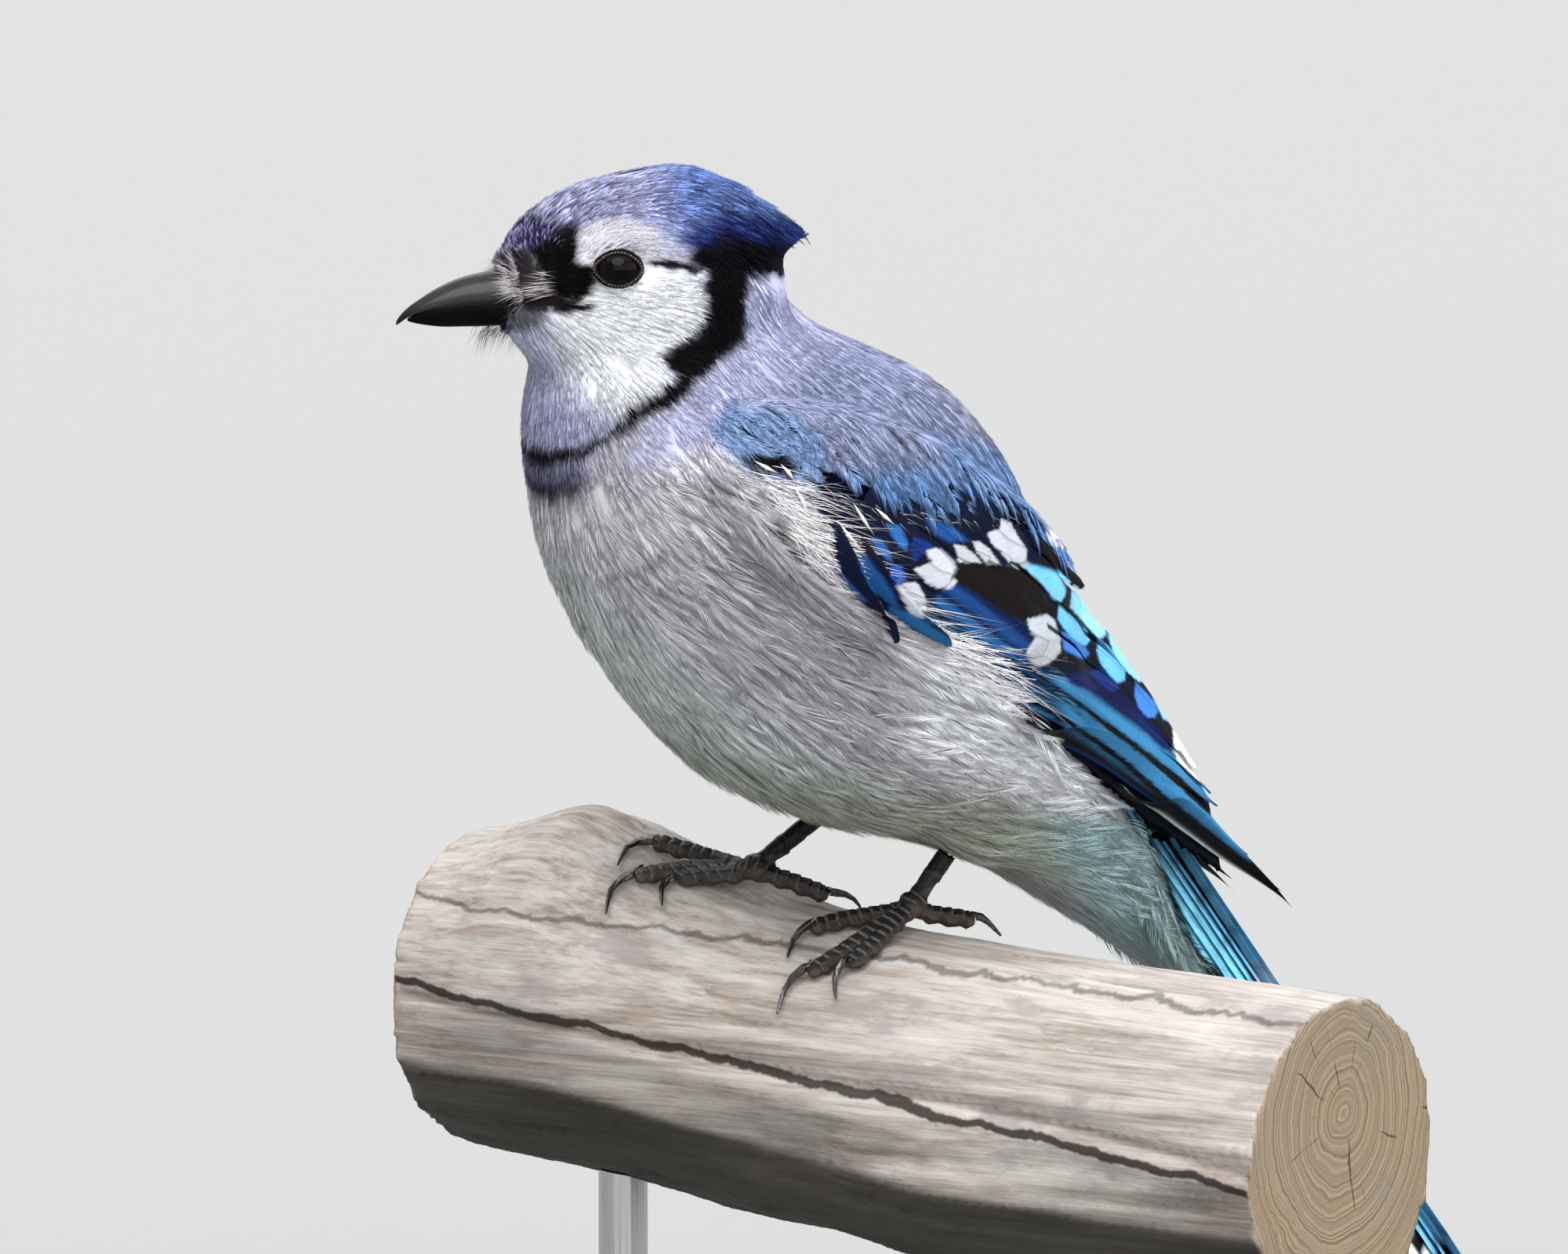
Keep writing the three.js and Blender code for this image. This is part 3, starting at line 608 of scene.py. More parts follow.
# How the coat lies. Kind: feather length, half width, barb width, lift, spacing, barbs a side, looseness,
# and how far a feather may stand off where the body bends away under it.
coatKinds = {
    "lore": (2.8, 0.7, 0.10, 0.30, 0.80, 6, 0.20, 0.1),
    "brow": (4.2, 0.9, 0.095, 0.38, 0.95, 8, 0.25, 0.2),
    "cheek": (6.0, 1.1, 0.095, 0.48, 1.05, 11, 0.30, 0.2),
    "crown": (8.0, 1.10, 0.15, 0.50, 1.22, 12, 0.16, 0.1),
    "crest": (10.0, 1.2, 0.15, 0.70, 1.35, 14, 0.25, 3.0),
    "throat": (7.5, 1.1, 0.10, 0.65, 1.20, 13, 0.30, 0.5),
    "collar": (6.0, 1.2, 0.12, 0.55, 1.20, 10, 0.22, 0.2),
    "neck": (9.5, 1.7, 0.115, 0.42, 1.60, 17, 0.10, 0.2),
    "mantle": (12.5, 2.5, 0.14, 0.45, 2.10, 24, 0.04, 0.3),
    "shoulder": (6.0, 2.4, 0.16, 0.60, 1.70, 18, 0.05, 0.3),
    "breast": (14.0, 2.3, 0.115, 0.85, 2.05, 22, 0.32, 0.6),
    "flank": (18.0, 2.5, 0.11, 1.50, 2.15, 25, 0.50, 1.2),
    "belly": (16.0, 3.0, 0.13, 1.35, 2.40, 19, 0.45, 1.0),
    "vent": (15.5, 2.6, 0.13, 1.10, 2.30, 19, 0.35, 0.8),
    "nasal": (5.5, 0.8, 0.09, 0.50, 0.80, 8, 0.40, 0.4),
}
# Where each kind lies in the frame, and which way it runs: 0 is towards the tail, 90 is down.
coatLie = [
    (640, 318, -75, "lore"), (655, 280, -62, "crown"), (700, 232, -38, "crown"), (760, 212, -14, "crown"),
    (870, 206, 6, "crown"), (780, 250, -8, "crown"), (860, 260, 8, "crown"), (950, 240, 22, "crest"),
    (940, 285, 14, "crest"), (1015, 275, 24, "crest"), (960, 325, 25, "crest"), (690, 290, -50, "crown"),
    (705, 335, -25, "lore"), (712, 365, -4, "lore"), (660, 335, -130, "nasal"), (672, 352, -160, "nasal"),
    (650, 362, -176, "nasal"), (682, 326, -110, "nasal"), (745, 310, -50, "brow"), (775, 290, -22, "brow"),
    (820, 296, 8, "brow"), (870, 322, 22, "brow"), (860, 340, 10, "lore"), (745, 385, 14, "cheek"),
    (790, 392, 12, "cheek"), (860, 370, 6, "cheek"), (800, 430, 32, "cheek"), (860, 425, 28, "cheek"),
    (830, 480, 48, "cheek"), (640, 398, 50, "throat"), (690, 415, 50, "throat"), (740, 440, 48, "throat"),
    (680, 470, 82, "throat"), (720, 490, 72, "throat"), (770, 500, 58, "throat"), (680, 550, 92, "throat"),
    (720, 555, 84, "throat"), (770, 545, 66, "throat"), (925, 345, 60, "collar"), (925, 400, 70, "collar"),
    (890, 470, 55, "collar"), (820, 535, 48, "collar"), (740, 578, 62, "collar"), (680, 592, 88, "collar"),
    (990, 380, 48, "neck"), (1050, 420, 42, "neck"), (970, 460, 52, "neck"), (1040, 480, 44, "neck"),
    (900, 540, 46, "neck"), (830, 580, 50, "neck"), (960, 530, 48, "neck"), (700, 620, 90, "breast"),
    (760, 620, 62, "breast"), (830, 620, 40, "breast"), (690, 690, 82, "breast"), (760, 690, 54, "breast"),
    (880, 630, 22, "flank"), (900, 680, 18, "flank"), (830, 720, 40, "breast"), (740, 780, 60, "breast"),
    (900, 740, 34, "flank"), (980, 760, 26, "flank"), (820, 840, 54, "breast"), (900, 840, 50, "breast"),
    (980, 850, 44, "flank"), (1060, 850, 30, "flank"), (900, 930, 46, "belly"), (1000, 930, 46, "belly"),
    (1100, 930, 34, "flank"), (1200, 900, 24, "flank"), (1300, 930, 26, "flank"), (1380, 980, 30, "flank"),
    (1000, 1040, 34, "belly"), (1120, 1030, 34, "belly"), (1220, 1020, 30, "belly"),
    (1320, 1050, 32, "belly"), (1140, 1090, 40, "belly"), (1420, 1090, 38, "vent"),
    (1480, 1130, 48, "vent"), (1540, 1200, 52, "vent"), (1400, 1170, 44, "vent"),
    (960, 560, 30, "shoulder"), (1010, 570, 40, "shoulder"), (1080, 520, 46, "mantle"),
    (1120, 470, 42, "mantle"), (1090, 600, 56, "mantle"), (1160, 560, 52, "mantle"),
    (1230, 520, 54, "mantle"), (1180, 640, 60, "mantle"), (1260, 600, 58, "mantle"),
    (1320, 660, 56, "mantle"), (1400, 740, 52, "mantle"),
]
lieSpots = np.array([row[:2] for row in coatLie], float)
lieWays = np.radians([row[2] for row in coatLie])
lieKinds = np.array([coatKinds[row[3]] for row in coatLie])


def coatAt(points):  # the coat's sizes, direction and nearest kind at points
    seen = toSeenSide(points)
    chart = chartOf(seen)
    apart = np.linalg.norm(chart[:, None] - lieSpots[None], axis=2)
    weight = 1 / (apart + 8) ** 4
    weight /= weight.sum(axis=1, keepdims=True)
    ways = unit(np.stack([weight @ np.cos(lieWays), weight @ np.sin(lieWays)], axis=1))
    aside = np.clip(np.abs(points[:, 0] - np.where(points[:, 2] > 60, -3, 0)) / 12, 0.15, 1)
    onHead = nearness(points)
    aside = aside * (1 - onHead) + onHead
    flow = ways[:, :1] * lookAcross - ways[:, 1:] * lookUp
    flow[:, 0] *= aside
    # on the far side the same direction is turned over
    head = toHead(points)
    bodyWay = flow.copy()
    bodyWay[:, 0] *= np.where(points[:, 0] < -2, -1, 1)
    inHead = np.stack([flow @ headForward, flow @ headLeft * np.sign(head[:, 1]), flow @ headUp], axis=1)
    return weight @ lieKinds, unit(blend(bodyWay, headWay(inHead), onHead)), apart.argmin(axis=1)


# One skin for all of the flesh, inside it by the coat's depth.
skinWork = {
    "grow": 0.25,
    "voxel": 1.0,
    "smooth": 9,
    "depth": 0.8,
    "nodes": ["head", "crest", "neck", "mantle", "breast", "belly", "under_tail", "thigh_left",
              "thigh_right"],
}


def remeshed(name, nodes, voxel, smooth, extra=()):
    piece = copyNodes(name, nodes)
    editAll(piece)
    bpy.ops.transform.shrink_fatten(value=skinWork["grow"] / 1000)
    bpy.ops.object.mode_set(mode="OBJECT")
    for middle, size in extra:
        clearSelection()
        bpy.ops.mesh.primitive_uv_sphere_add(segments=24, ring_count=16, radius=size / 1000,
                                             location=toWorld(middle))
        piece = joined(name, [piece, bpy.context.object])
    piece.data.remesh_voxel_size = voxel / 1000
    pick(piece)
    bpy.ops.object.voxel_remesh()
    useModifier(piece, "SMOOTH", factor=0.5, iterations=smooth)
    bpy.ops.object.shade_smooth()
    return piece


def smoothNormals(points, triangles):
    a, b, c = points[triangles[:, 0]], points[triangles[:, 1]], points[triangles[:, 2]]
    face = np.cross(b - a, c - a)
    total = np.zeros_like(points)
    for k in range(3):
        np.add.at(total, triangles[:, k], face)
    return unit(total)


# Where the wing's own feathers show, in the frame: no coat grows there, and few feathers end there.
openWing = [
    (1000, 592), (1030, 585), (1090, 580), (1160, 585), (1240, 592), (1300, 592), (1352, 612), (1420, 700),
    (1500, 800), (1560, 950), (1720, 1190), (1660, 1182), (1560, 1110), (1440, 1024), (1362, 968),
    (1316, 908), (1252, 870), (1220, 843), (1164, 816), (1100, 784), (1052, 728), (1020, 680), (980, 608),
]
openTail = [
    (1456, 1034), (1474, 1110), (1498, 1186), (1548, 1262), (1700, 1290), (1720, 1040),
]
eyeFill = [(middle, 3.5) for middle, axis in eyeSpots]  # balls that fill the flesh under eyes and bill
billFill = [(fromHead([17, 0, -3]), 4.4)]
skin = remeshed("skin", skinWork["nodes"], skinWork["voxel"], skinWork["smooth"], eyeFill + billFill)
skinPoints, skinTriangles = meshArrays(skin)
skinNormals = smoothNormals(skinPoints, skinTriangles)
depth = coatAt(skinPoints)[0][:, 3] * skinWork["depth"]
skinPoints = skinPoints - skinNormals * (depth + skinWork["grow"])[:, None]
for middle, axis in eyeSpots:  # the eyeball always stands out of the skin
    above = np.cross(axis, unit(np.cross(headUp, axis)))
    away = skinPoints - middle
    away = away + above * ((away @ above) * (1 / eyes["flat"] - 1))[:, None]
    far = np.linalg.norm(away, axis=1)
    front = (away @ axis > 0.6) & (far < 5.2)
    sunk = unit(away[front]) * np.minimum(far[front], eyes["ball"] - 0.35)[:, None]
    skinPoints[front] = middle + sunk - above * ((sunk @ above) * (1 - eyes["flat"]))[:, None]
setCorners(skin, skinPoints)
editAll(skin)
bpy.ops.uv.smart_project(angle_limit=math.radians(60), island_margin=0.002)
bpy.ops.object.mode_set(mode="OBJECT")
skin.data.uv_layers[0].name = "OFBake"
skinNormals = smoothNormals(skinPoints, skinTriangles)
print("skin:", len(skinTriangles), "triangles")


def treeOf(points, triangles):
    return BVHTree.FromPolygons(points.tolist(), triangles.tolist())


# The folded wings have a bed of their own, which the wing feathers lie on.
wingNodes = {side: [f"wing_{side}_{part}" for part in ("coverts", "secondaries", "primaries")]
             for side in ("left", "right")}
wingBeds, wingTrees = {}, []
for side, nodes in wingNodes.items():
    wingBeds[side] = remeshed(f"wing_bed_{side}", nodes, 1.0, 6)
    bedPoints, bedTriangles = meshArrays(wingBeds[side])
    bedNormals = smoothNormals(bedPoints, bedTriangles)
    if side == "left":
        leftBedTree = treeOf(bedPoints, bedTriangles)
        leftBedTriangles, leftBedNormals = bedTriangles, bedNormals
    setCorners(wingBeds[side], bedPoints - bedNormals * (skinWork["grow"] + 0.75))
    wingTrees.append(treeOf(*meshArrays(wingBeds[side])))
skinTree = treeOf(skinPoints, skinTriangles)

# The coat is laid over body and wings as one smooth form, so that feathers climb over the wing's edge.
hullNodes = skinWork["nodes"] + wingNodes["left"] + wingNodes["right"]
hull = remeshed("hull", hullNodes, 1.0, 22, eyeFill + billFill)
wholePoints, wholeTriangles = meshArrays(hull)
wholeNormals = smoothNormals(wholePoints, wholeTriangles)
depth = coatAt(wholePoints)[0][:, 3] * skinWork["depth"]
wholePoints = wholePoints - wholeNormals * (depth + skinWork["grow"])[:, None]
wholeTree = treeOf(wholePoints, wholeTriangles)
bpy.data.objects.remove(hull)


def onto(points, free=0.0):  # nearest places on the whole form, or up to free above it, with their normals
    spots, ways = np.empty_like(points), np.empty_like(points)
    for k, point in enumerate(points.tolist()):
        spot, way, face, far = wholeTree.find_nearest(point)
        spots[k] = spot
        ways[k] = wholeNormals[wholeTriangles[face]].sum(axis=0)
    ways = unit(ways)
    above = np.clip(np.sum((points - spots) * ways, axis=1), 0, free)
    return spots + ways * above[:, None], ways, above


def overWing(points, reach=3.0):  # 1 on a wing, 0 farther than reach from it
    away = np.array([min(tree.find_nearest(point)[3] for tree in wingTrees) for point in points.tolist()])
    return 1 - ramp(away, 0.8, reach)


# Materials of the plumage. The colour comes with each corner, and the shader breaks it up.
def cornerTint(start):
    return start.make("Attribute", {"attribute_name": "Plumage"})


def plumageLook(start, here):
    fine = here.noise(1400, 3)
    broad = here.noise(160, 3)
    dark = (fine * 0.45 + broad * 0.55).between(0.28, 0.72).mix((0.88, 0.88, 0.90), (1.06, 1.06, 1.06))
    return {"Base Color": cornerTint(start).times(dark), "Roughness": 0.62 + fine * 0.25,
            "Normal": start.bump(fine, 0.25, 0.0002)}


coatLook = finish("feathers", plumageLook, 0.06)
skinLook = finish("down", plumageLook, 0.04)
# the skin wears the coat's colours at 0.85: painted shade under the feathers
paintCorners(skin, plumage(meshArrays(skin)[0]) * 0.85)
wear(skin, skinLook)
place(skin, "body_feathers", *skinWork["nodes"])

# One barb: a three-sided spindle with a root, a middle and a point, modelled once.
clearSelection()
bpy.ops.mesh.primitive_cone_add(vertices=3, radius1=0.0005, radius2=0, depth=0.001, end_fill_type="NGON",
                                location=(0, 0, 0.0005))
bpy.ops.object.transform_apply(location=True)
bpy.ops.object.mode_set(mode="EDIT")
bpy.ops.mesh.select_all(action="DESELECT")
bpy.ops.mesh.select_face_by_sides(number=3)
bpy.ops.object.mode_set(mode="OBJECT")
barb = bpy.context.object
flatLimit = 1e-6
for face in barb.data.polygons:
    face.select = abs(face.center.z) < flatLimit
for edge in barb.data.edges:
    edge.select = all(abs(barb.data.vertices[k].co.z) < flatLimit for k in edge.vertices)
for corner in barb.data.vertices:
    corner.select = abs(corner.co.z) < flatLimit
bpy.ops.object.mode_set(mode="EDIT")
bpy.ops.mesh.extrude_region_move(TRANSFORM_OT_translate={"value": (0, 0, -0.001)})
bpy.ops.mesh.merge(type="CENTER")
bpy.ops.object.mode_set(mode="OBJECT")
barbPoints, barbFaces = shapeOf(barb)
barbRow = np.rint((barbPoints[:, 2] + 0.001) / 0.001).astype(int)  # 0 root, 1 middle, 2 point
barbCorner = np.rint(np.arctan2(barbPoints[:, 1], barbPoints[:, 0]) / (2 * math.pi) * 3).astype(int) % 3

skinMap = np.empty(len(skin.data.loops) * 2)
skin.data.uv_layers["OFBake"].data.foreach_get("uv", skinMap)
skinMap = skinMap.reshape(-1, 2)
skinLoops = np.empty(len(skin.data.loop_triangles) * 3, np.int32)
skin.data.loop_triangles.foreach_get("loops", skinLoops)
skinLoops = skinLoops.reshape(-1, 3)


def mapPlaces(points):  # where roots lie on the unwrapped skin
    places = np.empty((len(points), 2))
    for k, point in enumerate(points.tolist()):
        spot, way, face, far = skinTree.find_nearest(point)
        away = skinPoints[skinTriangles[face]] - np.array(spot)
        areas = np.linalg.norm(np.cross(away[[1, 2, 0]], away[[2, 0, 1]]), axis=1)
        places[k] = areas / max(areas.sum(), 1e-12) @ skinMap[skinLoops[face]]
    return places


def feathersFrom(roots, sizes, ways, normals):
    # five stations of every feather's shaft, laid along the skin
    count = len(roots)
    stations = np.empty((count, 5, 3))
    ups = np.empty((count, 5, 3))
    stations[:, 0], ups[:, 0] = roots, normals
    heading = unit(ways - normals * np.sum(ways * normals, axis=1, keepdims=True))
    spread = draw.normal(0, 0.16, count) * (0.6 + sizes[:, 6]) * np.where(sizes[:, 7] > 2, 1.25, 1)
    sideways = np.cross(normals, heading)
    heading = unit(heading * np.cos(spread)[:, None] + sideways * np.sin(spread)[:, None])
    at = roots.copy()
    for k in range(1, 5):
        at, way, above = onto(at + heading * (sizes[:, 0] / 4)[:, None], sizes[:, 7])
        clear = ramp(above, 0.15, 0.6)  # a feather that stands off runs straight on
        up = unit(blend(way, ups[:, k - 1], clear))
        field = coatAt(at)[1]
        field = unit(field - up * np.sum(field * up, axis=1, keepdims=True))
        turned = unit(heading - up * np.sum(heading * up, axis=1, keepdims=True))
        turned = unit(turned * 0.72 + field * 0.28)
        heading = unit(blend(turned, heading, clear))
        stations[:, k], ups[:, k] = at, up
    return stations, ups


def onShaft(values, feather, part):
    low = np.clip((part * 4).astype(int), 0, 3)
    return blend(values[feather, low], values[feather, low + 1], part * 4 - low)


def barbsOf(stations, ups, sizes):
    # every feather's barbs: root, middle and point of each, with a width
    heading = unit(np.gradient(stations, axis=1))
    across = unit(np.cross(ups, heading))
    count = np.rint(sizes[:, 5]).astype(int)
    feather = np.repeat(np.arange(len(sizes)), count * 2)
    order = np.concatenate([np.arange(n * 2) for n in count])
    perSide = count[feather]
    side = np.where(order % 2 == 0, 1.0, -1.0)
    loose = sizes[feather, 6]
    number = len(feather)
    start = np.clip((order // 2 + draw.uniform(0, 0.9, number)) / perSide * 0.80, 0, 0.82)
    reach = 0.42 + 0.16 * draw.random(number) + 0.14 * loose * draw.random(number)
    end = np.clip(start + reach, 0, 1.0)
    fullness = np.sqrt(np.clip(1 - ((end - 0.62) / 0.62) ** 2, 0.02, 1))
    halfWide = sizes[feather, 1] * fullness * (0.72 + 0.35 * draw.random(number))
    middle = start + (end - start) * 0.5
    lift = sizes[feather, 3]
    puff = 1 + loose * draw.normal(0, 0.22, number)
    jitter = sizes[feather, 2] * 0.5
    points = []
    for part, wide, rise in ((start, 0.02, 0.05), (middle, 0.62, 0.55), (end, 1.0, 0.95)):
        spot = onShaft(stations, feather, part)
        up = unit(onShaft(ups, feather, part))
        aside = unit(onShaft(across, feather, part))
        height = lift * (0.12 + 0.88 * part) * (0.35 + 0.65 * rise) * puff
        if rise > 0.9:
            height = height * (0.8 + 0.35 * draw.random(number)) - 0.12 * lift
        else:
            height = height - 0.1
        out = side * halfWide * wide + draw.normal(0, 1, number) * jitter * wide
        points.append(spot + aside * out[:, None] + up * height[:, None])
    return points, feather, unit(onShaft(ups, feather, middle)), start


def overEye(points, extra):  # the opening is longer than it is tall
    over = np.zeros(len(points), bool)
    for middle, axis in eyeSpots:
        side = unit(np.cross(headUp, axis))
        above = np.cross(axis, side)
        away = points - middle
        tall = away @ above
        ring = np.hypot(away @ side, tall / eyes["flat"])
        over |= (away @ axis > 0) & (ring < eyes["opening"] + extra)
    return over


def keepOut(points):  # barbs that would cross an eye or the bill
    head = toHead(points)
    onBill = (head[:, 0] > 24) & (head[:, 2] < 2.2) & (head[:, 2] > -8.6) & (np.abs(head[:, 1]) < 6)
    return overEye(points, 0.30) | onBill


def buildCoat(name, points, thick, ups, tints):
    # points: root, middle and point of every barb
    root, middle, tip = points
    way = unit(tip - root)
    across = unit(np.cross(ups, way))
    above = np.cross(way, across)
    number = len(root)
    thick = np.broadcast_to(thick, number)
    corners = np.empty((number, len(barbRow), 3))
    colours = np.empty((number, len(barbRow), 3))
    spots = np.empty((number, len(barbRow), 2))
    patches = mapPlaces(root)
    for k, (row, corner) in enumerate(zip(barbRow, barbCorner)):  # only its middle has a thickness
        base = (root, middle, tip)[row]
        wide = thick * (0, 1.15, 0)[row]
        angle = 2 * math.pi * corner / 3 + math.pi / 2
        corners[:, k] = (base + across * (math.cos(angle) * wide * 0.58)[:, None]
                         + above * (math.sin(angle) * wide * 0.20)[:, None])
        colours[:, k] = tints[row]
        spots[:, k] = patches + np.array([(corner - 1) * 0.0012, (row - 1) * 0.0013])
    faces = (barbFaces[None] + np.arange(number)[:, None, None] * len(barbRow)).reshape(-1, 3)
    return newPiece(name, corners.reshape(-1, 3), faces, coatLook, colours.reshape(-1, 3),
                    {"OFBake": spots.reshape(-1, 2)})


def streaks(points, end, part):
    # end: 0 in the middle of a barb, 1 at its point; part: how far along its feather the barb starts
    tints = plumage(points)
    chart = chartOf(toSeenSide(points))
    strand = draw.normal(0, 1, len(points))
    clump = cloud(points, 1.1, 5)
    tuft = cloud(points, 3.2, 8)
    onCrown = within(chart, markings["crown"][0], 6)
    front = onCrown * (1 - ramp(chart[:, 0], 720, 900))
    rear = onCrown - front
    brow = within(chart, markings["forehead"][0], 10)
    throat = within(chart, markings["throat"][0], 8)
    toTip = ramp(part + 0.35 * end, 0.30, 0.85)
    shade = (1 + (0.07 + 0.16 * onCrown) * strand + 0.07 * clump)[:, None]
    # crown: plum at the base of each feather, lilac at its end
    plum = (front * (1.0 - 0.90 * toTip) + rear * (0.5 - 0.5 * toTip)) * (0.55 + 0.45 * (strand > -0.4))
    tints = blend(tints, paint(50, 38, 82), plum)
    spots = brow * np.clip(ramp(tuft + 0.3 * strand, -0.5, 0.2) + 0.5 * (1 - toTip), 0, 1) * (1 - 0.5 * toTip)
    tints = blend(tints, paint(12, 8, 20), spots)
    tipped = brow * ramp(part + 0.35 * end, 0.62, 0.85) * (strand > -0.3) * 0.8
    tints = blend(tints, paint(186, 180, 226), tipped)
    dark = throat * (0.40 * (strand > 0.9)) - throat * 0.10 * (strand < -0.3) + rear * 0.45 * (strand < -0.9)
    return tints * np.clip(shade * (1 - dark[:, None]), 0.2, 1.4)


wingPoint = [
    (1395, 700), (1385, 962), (1480, 1012), (1560, 1080), (1660, 1180), (1700, 1200), (1560, 800),
]


# Roots are drawn over the whole form, close together where the feathers are small.
def drawRoots():
    points, triangles = wholePoints, wholeTriangles
    a, b, c = (points[triangles[:, k]] for k in range(3))
    middle = (a + b + c) / 3
    facing = np.cross(b - a, c - a)
    sizes, ways, kind = coatAt(middle)
    wanted = np.linalg.norm(facing, axis=1) / 2 / sizes[:, 4] ** 2 * coatFull["dense"]
    onWing = overWing(middle) > 0.3
    chart = chartOf(toSeenSide(middle))
    wanted[onWing & (within(chart, openWing, 2) > 0.5)] = 0
    outward = unit(facing)[:, 0] * np.sign(middle[:, 0]) + 0.5 * unit(facing)[:, 2] > -0.1
    wanted[onWing & ~outward] = 0
    head = toHead(middle)
    wanted[(head[:, 0] > 23.5) & (np.abs(head[:, 1]) < 6.5) & (head[:, 2] < 3) & (head[:, 2] > -8.2)] = 0
    wanted[overEye(middle, 0.35)] = 0
    face = np.repeat(np.arange(len(wanted)), draw.poisson(wanted))
    u, v = draw.random(len(face)), draw.random(len(face))
    over = u + v > 1
    u[over], v[over] = 1 - u[over], 1 - v[over]
    roots = a[face] + (b - a)[face] * u[:, None] + (c - a)[face] * v[:, None]
    return roots, unit(wholeNormals[triangles[face]].sum(axis=1))


coatFull = {"dense": 1.0, "rootShade": 0.86, "tipLight": 1.06,
            "overShoulder": 1.5, "overFlank": 1.4}
roots, normals = drawRoots()
sizes, ways, kind = coatAt(roots)
sizes[:, 0] *= draw.uniform(0.82, 1.15, len(roots))
sizes[:, 1] *= draw.uniform(0.85, 1.15, len(roots))
stations, ups = feathersFrom(roots, sizes, ways, normals)
kindNames = np.array([row[3] for row in coatLie])
upper = np.isin(kindNames[kind], ("mantle", "shoulder", "neck"))
for k in range(5):  # feathers that lie on a wing lie over its own
    rise = overWing(stations[:, k]) * np.where(upper, coatFull["overShoulder"], coatFull["overFlank"])
    stations[:, k] += ups[:, k] * rise[:, None]
# crooked ones are left out
straight = np.linalg.norm(stations[:, 4] - stations[:, 0], axis=1) / sizes[:, 0] > 0.72
# nothing of the body's coat crosses the point of a folded wing
ends = stations[:, 4]
crossing = (overWing(ends) > 0.2) & (within(chartOf(toSeenSide(ends)), wingPoint, 6) > 0.5)
crested = kindNames[kind] == "crest"
seenEnd = chartOf(toSeenSide(ends))
tooFar = crested & ((seenEnd[:, 0] > 1034) | ((seenEnd[:, 1] > 326) & (seenEnd[:, 0] > 990))
                    | ((seenEnd[:, 1] < 282) & (seenEnd[:, 0] > 1002))
                    | ((seenEnd[:, 1] > 312) & (seenEnd[:, 0] > 1014)))
# feathers from below end at the wing, and only some reach a little over it
inside = within(seenEnd, openWing, 40)
limit = np.where(seenEnd[:, 0] > 1390, 0.28, 0.54 + 0.16 * draw.random(len(ends)))
throughWing = within(chartOf(toSeenSide(stations[:, 2])), openWing, 4) > 0.5
overTail = within(seenEnd, openTail, 4) > 0.5
covering = ~upper & ~crested & ((inside > limit) | throughWing | overTail)
kept = straight & ~crossing & ~tooFar & ~covering
stations, ups, sizes, kind, roots = stations[kept], ups[kept], sizes[kept], kind[kept], roots[kept]
print("feathers:", len(roots))
points, feather, barbUps, start = barbsOf(stations, ups, sizes)
clear = ~(keepOut(points[1]) | keepOut(points[2]))
points = [spot[clear] for spot in points]
feather, barbUps = feather[clear], barbUps[clear]
thick = sizes[feather, 2] * draw.uniform(0.8, 1.2, len(feather))
barbKind = kindNames[kind[feather]]
leftSide = points[0][:, 0] > -2
uneven = np.where(np.isin(kindNames[kind], ("crown", "crest")), 0.30, 0.05)
tone = 1 + (draw.normal(0, 1, len(roots)) * uneven)[feather][:, None]
start = start[clear]
tintMiddle = streaks(points[1], 0, start) * tone
tintTip = streaks(points[2], 1, start) * tone * coatFull["tipLight"]
tintRoot = tintMiddle * coatFull["rootShade"]
print("barbs:", len(feather))

coatPieces = {
    "coat_crown": (("crown", "crest"), "head_feathers"),
    "coat_face": (("lore", "brow", "cheek", "collar", "nasal"), "head_feathers"),
    "coat_throat": (("throat",), "head_feathers"),
    "coat_neck": (("neck", "shoulder"), "back_feathers"),
    "coat_mantle": (("mantle",), "back_feathers"),
    "coat_breast": (("breast",), "body_feathers"),
    "coat_flank": (("flank",), "body_feathers"),
    "coat_belly": (("belly", "vent"), "body_feathers"),
}
faceLimit = 199000  # the most faces that one piece may have
barbLimit = faceLimit // len(barbFaces)
for name, (kinds, slotName) in coatPieces.items():
    mine = np.isin(barbKind, kinds)
    halves = {name: mine}
    if mine.sum() > barbLimit:
        halves = {name + "_left": mine & leftSide, name + "_right": mine & ~leftSide}
    for label, chosen in halves.items():
        chosen = np.flatnonzero(chosen)
        tints = [tint[chosen] for tint in (tintRoot, tintMiddle, tintTip)]
        piece = buildCoat(label, [spot[chosen] for spot in points], thick[chosen], barbUps[chosen], tints)
        place(piece, slotName)
        print(label + ":", len(chosen), "barbs")


# Flight feathers. A vane is modelled once as a thin closed leaf, and each feather bends its own copy.
vaneThick = 0.11


def makeVane(acrossParts, alongParts):
    clearSelection()
    bpy.ops.mesh.primitive_grid_add(x_subdivisions=acrossParts, y_subdivisions=alongParts, size=2)
    vane = bpy.context.object
    editAll(vane)
    bpy.ops.mesh.extrude_region_move(TRANSFORM_OT_translate={"value": (0, 0, 1)})
    facesOut(vane)
    corners, faces = shapeOf(vane)
    return {"rows": alongParts + 1, "faces": faces, "across": np.clip((corners[:, 0] + 1) / 2, 0, 1),
            "along": (corners[:, 1] + 1) / 2, "top": corners[:, 2]}


vanes = {"plain": makeVane(16, 72), "long": makeVane(20, 130)}
black = paint(5, 5, 7)
vaneTints = {
    "cyan": paint(150, 222, 248), "sky": paint(60, 128, 190), "violet": paint(12, 28, 84),
    "blue": paint(38, 96, 136), "deep": paint(10, 38, 80), "navy": paint(4, 14, 44),
    "dusk": paint(14, 18, 42), "white": paint(240, 244, 247), "grey": paint(166, 176, 176), "black": black,
    "brown": paint(14, 12, 11), "smoke": paint(52, 56, 62),
}
